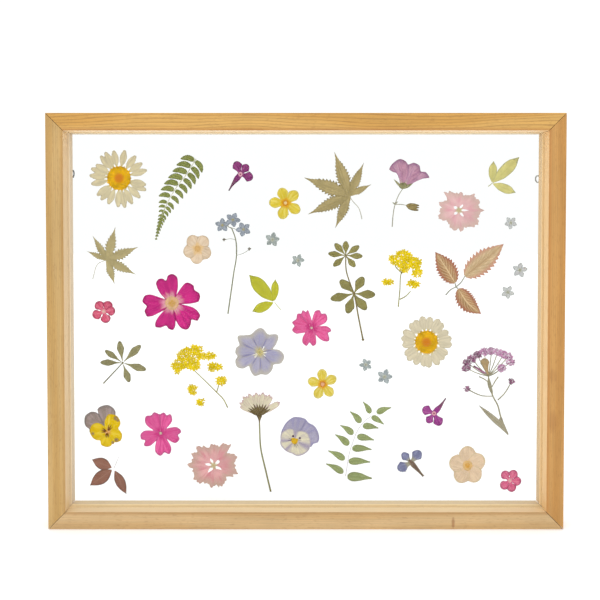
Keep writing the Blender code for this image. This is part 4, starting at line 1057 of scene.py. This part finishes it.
def makeRussetSpray(look):
    paints = plantPaints("russet", look["paints"])
    parts = [stem(route, 0.9, 2) for route in look["stalks"]]
    parts += [blade(path, width, "ovate", paint, 0.05, 0.04, ridge=0.06, teeth=(12, 0.32), across=15,
                    along=97)
              for path, width, paint in look["leaves"]]
    press("russet_leaf_trio", parts, paints)


makeRussetSpray(russetSpray)

mapleLeaves = {
    "maple_leaf_large": {
        "lobes": ((-156, 24.8, 7.2), (-114, 32.4, 8.8), (-69.5, 34.5, 10.2), (-20, 31.6, 9.2),
                  (24.6, 24.5, 6.6), (64.4, 17.2, 4.8)),
        "stalk": ((9, -16.5), (6.7, -9), (1.5, -3), (0, 0)), "teeth": (14, 0.4),
        "body": "B4A272", "edge": "857850", "rib": "94865A", "stalkCode": "C6C2B4"},
    "maple_leaf_small": {
        "lobes": ((-66.4, 15.6, 3.9), (-30.7, 19.9, 4.8), (14.6, 23.9, 7.0), (67.5, 24, 7.0),
                  (116.6, 22.9, 6.4), (163, 17.8, 5.6)),
        "stalk": ((-10.4, -13.4), (-5.9, -2.2), (0, 0)), "teeth": (11, 0.5),
        "body": "BBAB7C", "edge": "8E845A", "rib": "9C9066", "stalkCode": "DAD7CC"},
}


def makeMaple(node, look):
    # toothed lobes from one base, and a web that fills the angles between them
    name = node.replace("_", " ")
    paints = [
        plantPaint(name + " blade", look["body"], edge=look["edge"], edgeFrom=0.6, rib=look["rib"], ribs=8,
                   slant=0.4, streak=look["rib"], mottle=0.2),
        plantPaint(name + " stalk", look["stalkCode"], streak="A8A498", streaks=3),
        plantPaint(name + " web", look["body"], mottle=0.18),
    ]
    parts = [stem(look["stalk"], 0.7, 1, 20)]
    parts += petals(look["lobes"], 8, "lobe", 0.0, tilt=0.03, ridge=0.05, teeth=look["teeth"], across=13,
                    along=85)
    headings = [row[0] for row in look["lobes"]]
    web = [(row[0], row[1] * 0.3) for row in look["lobes"]]
    web.append(((headings[0] + headings[-1] + 360) / 2, 0.6))
    parts.append(rosette(web, 2, layer=-0.02, bow=0.02))
    press(node, parts, paints)


for node, look in mapleLeaves.items():
    makeMaple(node, look)

pinnateLeaf = {
    # leaflets (base x, base z, tip x, tip z, width), from the bottom up
    "rachis": ((0, 0), (4.1, 21.1), (11.6, 37.1), (18.1, 42.9)),
    "leaflets": (
        (-1.6, 2.6, -13.8, 9.0, 4.8), (-0.6, 12.0, -12.2, 18.2, 4.8), (2.3, 22.4, -7.2, 29.7, 5.0),
        (5.4, 30.0, -3.7, 36.3, 4.6), (10.8, 38.2, 3.2, 46.1, 4.6), (17.6, 44.8, 12.4, 53.0, 4.0),
        (1.4, -0.2, 18.8, -1.4, 6.8), (2.3, 10.6, 17.6, 10.2, 5.4), (4.8, 19.8, 18.6, 19.2, 5.2),
        (8.3, 28.3, 20.3, 25.8, 5.0), (12.3, 35.9, 23.4, 34.3, 4.8), (18.6, 42.6, 27.2, 37.0, 4.2),
        (22.2, 45.0, 32.4, 48.9, 4.6)),
    "paints": {
        "leaflet": dict(body="929C66", edge="747C4E", edgeFrom=0.7, rib="7C8A56", streak="9CA878",
                        mottle=0.16, toneRange=0.2),
        "rachis": dict(body="D2CCD4", streak="A8A0AC", streaks=3, mottle=0.05),
    },
}


def makePinnateLeaf(look):
    paints = plantPaints("pinnate", look["paints"])
    parts = [stem(look["rachis"], 0.42, 1, 30)]
    for x, z, tipX, tipZ, width in look["leaflets"]:
        bulge = 0.35 if tipX < x else -0.35
        path = ((x, z), ((x + tipX) / 2 + bulge, (z + tipZ) / 2 + 0.5), (tipX, tipZ))
        parts.append(blade(path, width, "tear", 0, 0.05, 0.03, ridge=0.04, across=11, along=17))
    press("pinnate_leaf", parts, paints)


makePinnateLeaf(pinnateLeaf)

fern = {
    "rachis": ((0, 0), (-6.7, -10.8), (-12.6, -18.2), (-17.1, -24.9), (-20, -30.1), (-23, -36.7),
               (-25.2, -43.4), (-28.9, -57.1)),
    # (place along the rachis, x and z from a pinna's base to its tip)
    "outer": ((0, -9.7, 1.0), (.15, -10.2, 1.0), (.32, -10, 0.2), (.49, -8.2, 0), (.59, -5.4, -.2),
              (.69, -3.2, -.8), (.79, -2.1, -1.2), (.9, -1.2, -1.4), (1, -.3, -1)),
    "inner": ((0, 4.6, -8.2), (.15, 4.8, -8), (.32, 5.4, -6.4), (.49, 5.0, -5.2), (.59, 3.6, -4.6),
              (.69, 2.4, -3.6), (.79, 1.5, -2.6), (.9, .8, -1.8), (1, .3, -1)),
    "paints": {
        "pinna": dict(body="868C4C", edge="626A34", edgeFrom=0.55, rib="6A743A", ribs=7, slant=0.3,
                      streak="8E9454", mottle=0.2, toneRange=0.2),
        "rachis": dict(body="DCDAC4", streak="7E8058", streaks=4, mottle=0.2),
    },
}


def makeFern(look):
    # pairs of pinnae along the rachis, crowded towards its tip, each bent sideways by a share of its length
    paints = plantPaints("fern", look["paints"])
    parts = [stem(look["rachis"], 0.7, 1, 40)]
    at = np.interp(np.arange(18), (0, 7, 10, 17), (0.02, 0.57, 0.72, 0.98))
    rachis = np.array(look["rachis"], float)
    marks = np.append(0.0, np.cumsum(np.hypot(*np.diff(rachis, axis=0).T)))
    bases = smoothThrough(np.column_stack([marks / marks[-1], rachis]), at)
    for side in ("outer", "inner"):
        for index, (base, reach) in enumerate(zip(bases, smoothThrough(look[side], at))):
            length = math.hypot(*reach)
            aside = np.array([-reach[1], reach[0]]) * math.copysign(0.13, reach[0])
            away = reach / length * min(0.6, 0.08 * length)
            path = (base + away, base + away + reach * 0.5 + aside, base + away + reach)
            parts.append(blade(path, 0.38 * length + 0.5, "pinna", 0, 0.03 + 0.02 * (index % 3), 0.03,
                               ridge=0.03,
                               teeth=(9, 0.22), across=9, along=37))
    parts.append(blade(bases[8:], 2.2, "lance", 0, 0.0, along=24, across=7))
    press("fern_frond", parts, paints)


makeFern(fern)
print("leaves done")


rails = {
    # pale and dark wood of each rail; how wavy its grain is, how strong its dark lines are and how close its
    # rings are; the colour of its inner arris, and the painted light on the wall behind it (inner: paler than
    # the wood, palest on the top rail's wall that faces the floor, and also the colour of the rabbet's glow);
    # pale and dark wood of its strip; knots: (x, z, half width and half height in mm, strength)
    "left_rail": {
        "pale": "C6A56C", "deep": "B78F4E", "wave": 0.8, "lines": 0.24, "arris": "AE8044", "rings": 260,
        "inner": "E3C699", "strip": ("DDC5A4", "D0B48C")},
    "top_rail": {
        "pale": "D3A75D", "deep": "C39041", "wave": 1.6, "lines": 0.42, "arris": "AA6C34", "rings": 150,
        "inner": "F5DBB1", "strip": ("E0C8A0", "D4B488")},
    "right_rail": {
        "pale": "C69655", "deep": "B5813E", "wave": 0.7, "lines": 0.2, "arris": "B47438", "rings": 230,
        "inner": "F2CB90", "knots": ((176.3, 110.8, 4, 7, 0.24), (176.5, 77.9, 4.5, 11, 0.3)),
        "strip": ("E5C392", "D7AF7A")},
    "bottom_rail": {
        "pale": "CEB082", "deep": "BF9B67", "wave": 0.9, "lines": 0.2, "arris": "A87A44", "rings": 250,
        "inner": "EED2A3", "knots": ((105.7, 4.8, 1.6, 5, 0.6), (184, 0.3, 1.2, 1.2, 0.9)),
        "strip": ("E4CAA0", "D8B98A")},
}
stripGrain = {"wave": 0.6, "lines": 0.2, "rings": 240}
wood = {
    "pore": "8A5A2A", "line": "8C5C2C", "knot": "8A5228", "glow": 0.45,
    # in m, from the front (negative) backward: where the arris fades out, where the painted light on the wall
    # of the opening sets in, and where the rabbet's glow begins and ends
    "arris": (-0.0125, -0.0105), "litWall": (-0.0124, -0.0119), "rabbetFront": (-0.0024, -0.0020),
    "rabbetBack": (0.0044, 0.0040),
    # in m from the edge of the opening: how far each is full, and where it has faded out
    "arrisReach": (0.0004, 0.0028), "litWallReach": (0.0003, 0.0006), "rabbetReach": (0.008, 0.009),
}


def woodPaint(name, look, upright, sightEdge):
    # rings seen lengthways: a sine of the distance across the rail, bent by slow noise, then fibres and
    # short dark pores drawn out along the rail, dark lines from a quicker sine, and knots
    paint = Paint(name, 0.48, 0.4)
    x, y, z = paint.axes(paint.coordinates(3))
    along, across = (z, x) if upright else (x, z)

    def grain(fine, drawnOut, detail):
        return paint.noise(paint.place(across * fine, y * fine, along * drawnOut), 1.0, detail)

    slow = grain(30.0, 5.0, 2.0)
    phase = across * look["rings"] * 2.0 + y * look["rings"] + slow * (10.0 * look["wave"])
    rings = paint.step(phase.wave(), -0.9, 1.0)
    fibre = grain(900.0, 24.0, 3.0)
    pores = paint.step(grain(1100.0, 240.0, 2.0), 0.56, 0.68)
    blotch = paint.noise(paint.coordinates(3), 28.0, 2.0)
    colour = paint.mix(rings * 0.55 + fibre * 0.35, tint(look["pale"]), tint(look["deep"]))
    colour = paint.mix(pores * 0.2, colour, tint(wood["pore"]))
    bent = (across + y * 0.6) * (look["rings"] * 20.0) + slow * (36.0 * look["wave"]) + fibre * 3.0
    lines = paint.step(bent.wave(), 0.4, 1.0)
    colour = paint.mix(lines * look["lines"], colour, tint(wood["line"]))
    for knotX, knotZ, wide, tall, strength in look.get("knots", ()):
        asideX, asideZ = (x - knotX * mm) * (1 / wide / mm), (z - knotZ * mm) * (1 / tall / mm)
        spot = paint.step(asideX * asideX + asideZ * asideZ + fibre, 1.4, 0.5)
        colour = paint.mix(spot * strength, colour, tint(wood["knot"]))
    light = blotch * 0.24 + fibre * 0.4 + 0.69
    colour = paint.mix(1.0, colour, paint.place(light, light, light), "MULTIPLY")

    toSight = abs(across - sightEdge)

    def near(reach):
        return paint.step(toSight, wood[reach][1], wood[reach][0])

    arris = near("arrisReach") * paint.step(y, wood["arris"][1], wood["arris"][0])
    colour = paint.mix(arris * 0.5, colour, tint(look["arris"]))
    # painted light: the wall of the opening is painted in the rail's paler inner colour, standing in for the
    # light from the white room that the deep opening otherwise shades off
    litWall = near("litWallReach") * paint.step(y, *wood["litWall"])
    colour = paint.mix(litWall * (fibre * -0.5 + 1.0), colour, tint(look["inner"]))
    paint.colour(colour)
    # real panes carry light into the rabbet and this glass does not, so the wood there glows a little
    rabbet = paint.step(y, *wood["rabbetFront"]) * paint.step(y, *wood["rabbetBack"]) * near("rabbetReach")
    paint.plug(paint.shader.inputs["Emission Color"],
               paint.mix(rabbet, (0.0, 0.0, 0.0, 1.0), tint(look["inner"])))
    paint.shader.inputs["Emission Strength"].default_value = wood["glow"]
    paint.plug(paint.shader.inputs["Roughness"], 0.42 + fibre * 0.2)
    paint.bump(fibre + rings * 0.4 - pores * 1.2, 0.05, 0.5)
    return paint.material


for node, look in rails.items():
    side = node.split("_")[0]
    low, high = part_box(node)
    upright = side in ("left", "right")
    sightEdge = {"left": high.x, "right": low.x, "top": low.z, "bottom": high.z}[side]
    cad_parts[node].material_slots[0].material = woodPaint(side + " rail wood", look, upright, sightEdge)
    pale, deep = look["strip"]
    stripLook = {**stripGrain, "pale": pale, "deep": deep, "arris": deep, "inner": pale}
    stripWood = woodPaint(side + " strip wood", stripLook, upright, sightEdge)
    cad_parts[side + "_strip"].material_slots[0].material = stripWood


glass = {"clear": (0.98, 0.984, 0.982, 1.0), "polish": 0.02, "faceOn": 0.004, "grazing": 0.7}


def glassPaint(look):
    # clear glass: what is behind shows through, with a faint reflection that grows towards grazing as
    # facing^5. Facing is the same on both sides of a pane, so no ray is trapped inside it
    paint = Paint("clear pane", look["polish"])
    clear = paint.add("ShaderNodeBsdfTransparent", {}, {"Color": look["clear"]})
    gloss = paint.add("ShaderNodeBsdfGlossy", {},
                      {"Roughness": look["polish"], "Color": (1.0, 1.0, 1.0, 1.0)})
    facing = paint.add("ShaderNodeLayerWeight", {}, {"Blend": 0.5}, 1)
    square = facing * facing
    share = square * square * facing * look["grazing"] + look["faceOn"]
    both = paint.add("ShaderNodeMixShader", {}, {0: share, 1: clear, 2: gloss})
    paint.plug(paint.tree.nodes["Material Output"].inputs["Surface"], both)
    paint.tree.nodes.remove(paint.shader)
    return paint.material


clearPane = glassPaint(glass)
for node in ("front_pane", "back_pane"):
    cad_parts[node].material_slots[0].material = clearPane


screwEyes = {
    # in mm; the ring is bent from its start through its sweep in degrees
    "ringRadius": 2.5, "wireRadius": 0.5, "shankRadius": 0.65, "standOff": 6.5, "shankDepth": 7.5,
    "neck": 1.8,
    "ringStart": -70.0, "ringSweep": 320.0, "pointLength": 2.0, "threadPitch": 0.9, "threadHeight": 0.14,
    "shankSteps": 60, "threadSteps": 42, "ringSteps": 49, "sides": 17,
    # both eyes are the same wire: the left eye's near-black colours and low metal are painted shade and a
    # painted dark reflection, the right eye's grey is the metal's own colour
    "left": {"side": -1, "turn": 93.0, "lean": 0.0, "bright": "3C3A30", "dull": "24221C", "metal": 0.3},
    "right": {"side": 1, "turn": 86.0, "lean": 22.0, "bright": "B4B2AC", "dull": "6E6A58", "metal": 1.0},
}


def makeScrewEye(side, look):
    # a round wire carried along the shank and round the ring; its radius carries the thread, a helix
    own = look[side]
    ring, steps, sides = look["ringRadius"], look["shankSteps"], look["sides"]
    neck = -ring - look["neck"]
    tip = -look["standOff"] - look["shankDepth"]
    shankY = np.linspace(tip, neck, steps)
    turn = np.radians(look["ringStart"] + look["ringSweep"] * np.linspace(0.0, 1.0, look["ringSteps"]))
    flat = np.vstack([np.column_stack([np.zeros(steps), shankY]),
                      np.column_stack([ring * np.cos(turn), ring * np.sin(turn)])])
    radius = np.where(np.arange(len(flat)) < steps, look["shankRadius"], look["wireRadius"])
    radius[:steps] *= np.clip((shankY - tip) / look["pointLength"], 0.15, 1.0)
    lean = math.radians(own["lean"])
    past = np.maximum(0.0, flat[:, 1] - neck)
    line = np.column_stack([flat[:, 0], np.minimum(flat[:, 1], neck) + past * math.cos(lean),
                            -own["side"] * past * math.sin(lean)])
    aim = np.gradient(line, axis=0)
    aim /= np.linalg.norm(aim, axis=1)[:, None]
    sideways = np.cross(aim, np.array([0.0, 0.0, 1.0]))
    sideways /= np.linalg.norm(sideways, axis=1)[:, None]
    up = np.cross(sideways, aim)
    around = np.linspace(0.0, 2 * np.pi, sides)
    height = np.where(np.arange(len(line)) < look["threadSteps"], look["threadHeight"], 0.0)[:, None]
    thread = height * np.cos(2 * np.pi * line[:, 1, None] / look["threadPitch"] - around[None, :])
    swell = radius[:, None] * (1.0 + thread)
    swell[0] = swell[-1] = 0.0
    points = (line[:, None, :] + swell[..., None] * (np.cos(around)[None, :, None] * sideways[:, None, :]
                                                    + np.sin(around)[None, :, None] * up[:, None, :]))
    spin = math.radians(own["turn"])
    x, y, z = points.reshape(-1, 3).T
    points = np.column_stack([x * math.cos(spin) + z * math.sin(spin), y,
                              z * math.cos(spin) - x * math.sin(spin)])
    node = side + "_screw_eye"
    low, high = (np.array(corner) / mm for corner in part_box(node))
    grow = (high - low) / (points.max(0) - points.min(0))
    points = (points - (points.max(0) + points.min(0)) / 2) * grow + (low + high) / 2
    faces = gridFaces(len(line), sides)[:, ::-1]
    uv = np.zeros((len(points), 2))
    mesh = meshFrom(node + "_wire", points, faces, uv, np.zeros(len(points)), np.zeros(len(faces)))
    paint = Paint("screw eye " + side, 0.32)
    tarnish = paint.noise(paint.coordinates(3), 700.0, 3.0)
    paint.colour(paint.mix(paint.step(tarnish, 0.4, 0.7), tint(own["bright"]), tint(own["dull"])))
    paint.shader.inputs["Metallic"].default_value = own["metal"]
    paint.plug(paint.shader.inputs["Roughness"], 0.25 + tarnish * 0.25)
    mesh.materials.append(paint.material)
    piece = bpy.data.objects.new(node + "_wire", mesh)
    scene.collection.objects.link(piece)
    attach(piece, "root")
    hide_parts(node)


for side in ("left", "right"):
    makeScrewEye(side, screwEyes)
print("frame finished")


studio = {
    # places and sizes in m, power in W
    "floorSize": 12.0, "floorGlow": 0.22, "floorPale": "FAFAFA", "floorDeep": "F5F5F5", "sky": 1.08,
    "keyPlace": (-0.9, -1.3, 1.3), "keyTarget": (0.0, 0.0, 0.15), "keySize": 1.2, "keyPower": 2.0,
}


def makeStudio(look):
    half = look["floorSize"] / 2
    mesh = bpy.data.meshes.new("floor")
    mesh.from_pydata([(-half, -half, 0), (half, -half, 0), (half, half, 0), (-half, half, 0)], [],
                     [(0, 1, 2, 3)])
    floor = bpy.data.objects.new("floor", mesh)
    scene.collection.objects.link(floor)
    paint = Paint("pale floor", 0.9, 0.1)
    speckle = paint.noise(paint.coordinates(3), 40.0, 2.0)
    paint.colour(paint.mix(speckle, tint(look["floorPale"]), tint(look["floorDeep"])))
    paint.shader.inputs["Emission Color"].default_value = (1.0, 1.0, 1.0, 1.0)
    paint.shader.inputs["Emission Strength"].default_value = look["floorGlow"]
    mesh.materials.append(paint.material)

    world = bpy.data.worlds.new("white room")
    scene.world = world
    world.use_nodes = True
    background = world.node_tree.nodes["Background"]
    background.inputs["Color"].default_value = (1.0, 1.0, 1.0, 1.0)
    background.inputs["Strength"].default_value = look["sky"]

    lamp = bpy.data.lights.new("soft key", "AREA")
    lamp.shape = "DISK"
    lamp.size = look["keySize"]
    lamp.energy = look["keyPower"]
    light = bpy.data.objects.new("soft key", lamp)
    light.location = look["keyPlace"]
    aim = Vector(look["keyTarget"]) - light.location
    light.rotation_euler = aim.to_track_quat("-Z", "Y").to_euler()
    scene.collection.objects.link(light)


makeStudio(studio)

view = {
    # place in m, pitch in degrees, lens in mm
    "place": (-0.0042, -0.5781, 0.2166), "pitch": -1.47, "lens": 47.73, "shiftY": -0.0865,
}
camera = bpy.data.objects.new("camera", bpy.data.cameras.new("camera"))
camera.data.lens = view["lens"]
camera.data.shift_y = view["shiftY"]
camera.data.clip_start = 0.01
camera.location = view["place"]
camera.rotation_euler = (math.radians(90.0 + view["pitch"]), 0.0, 0.0)
scene.collection.objects.link(camera)
scene.camera = camera
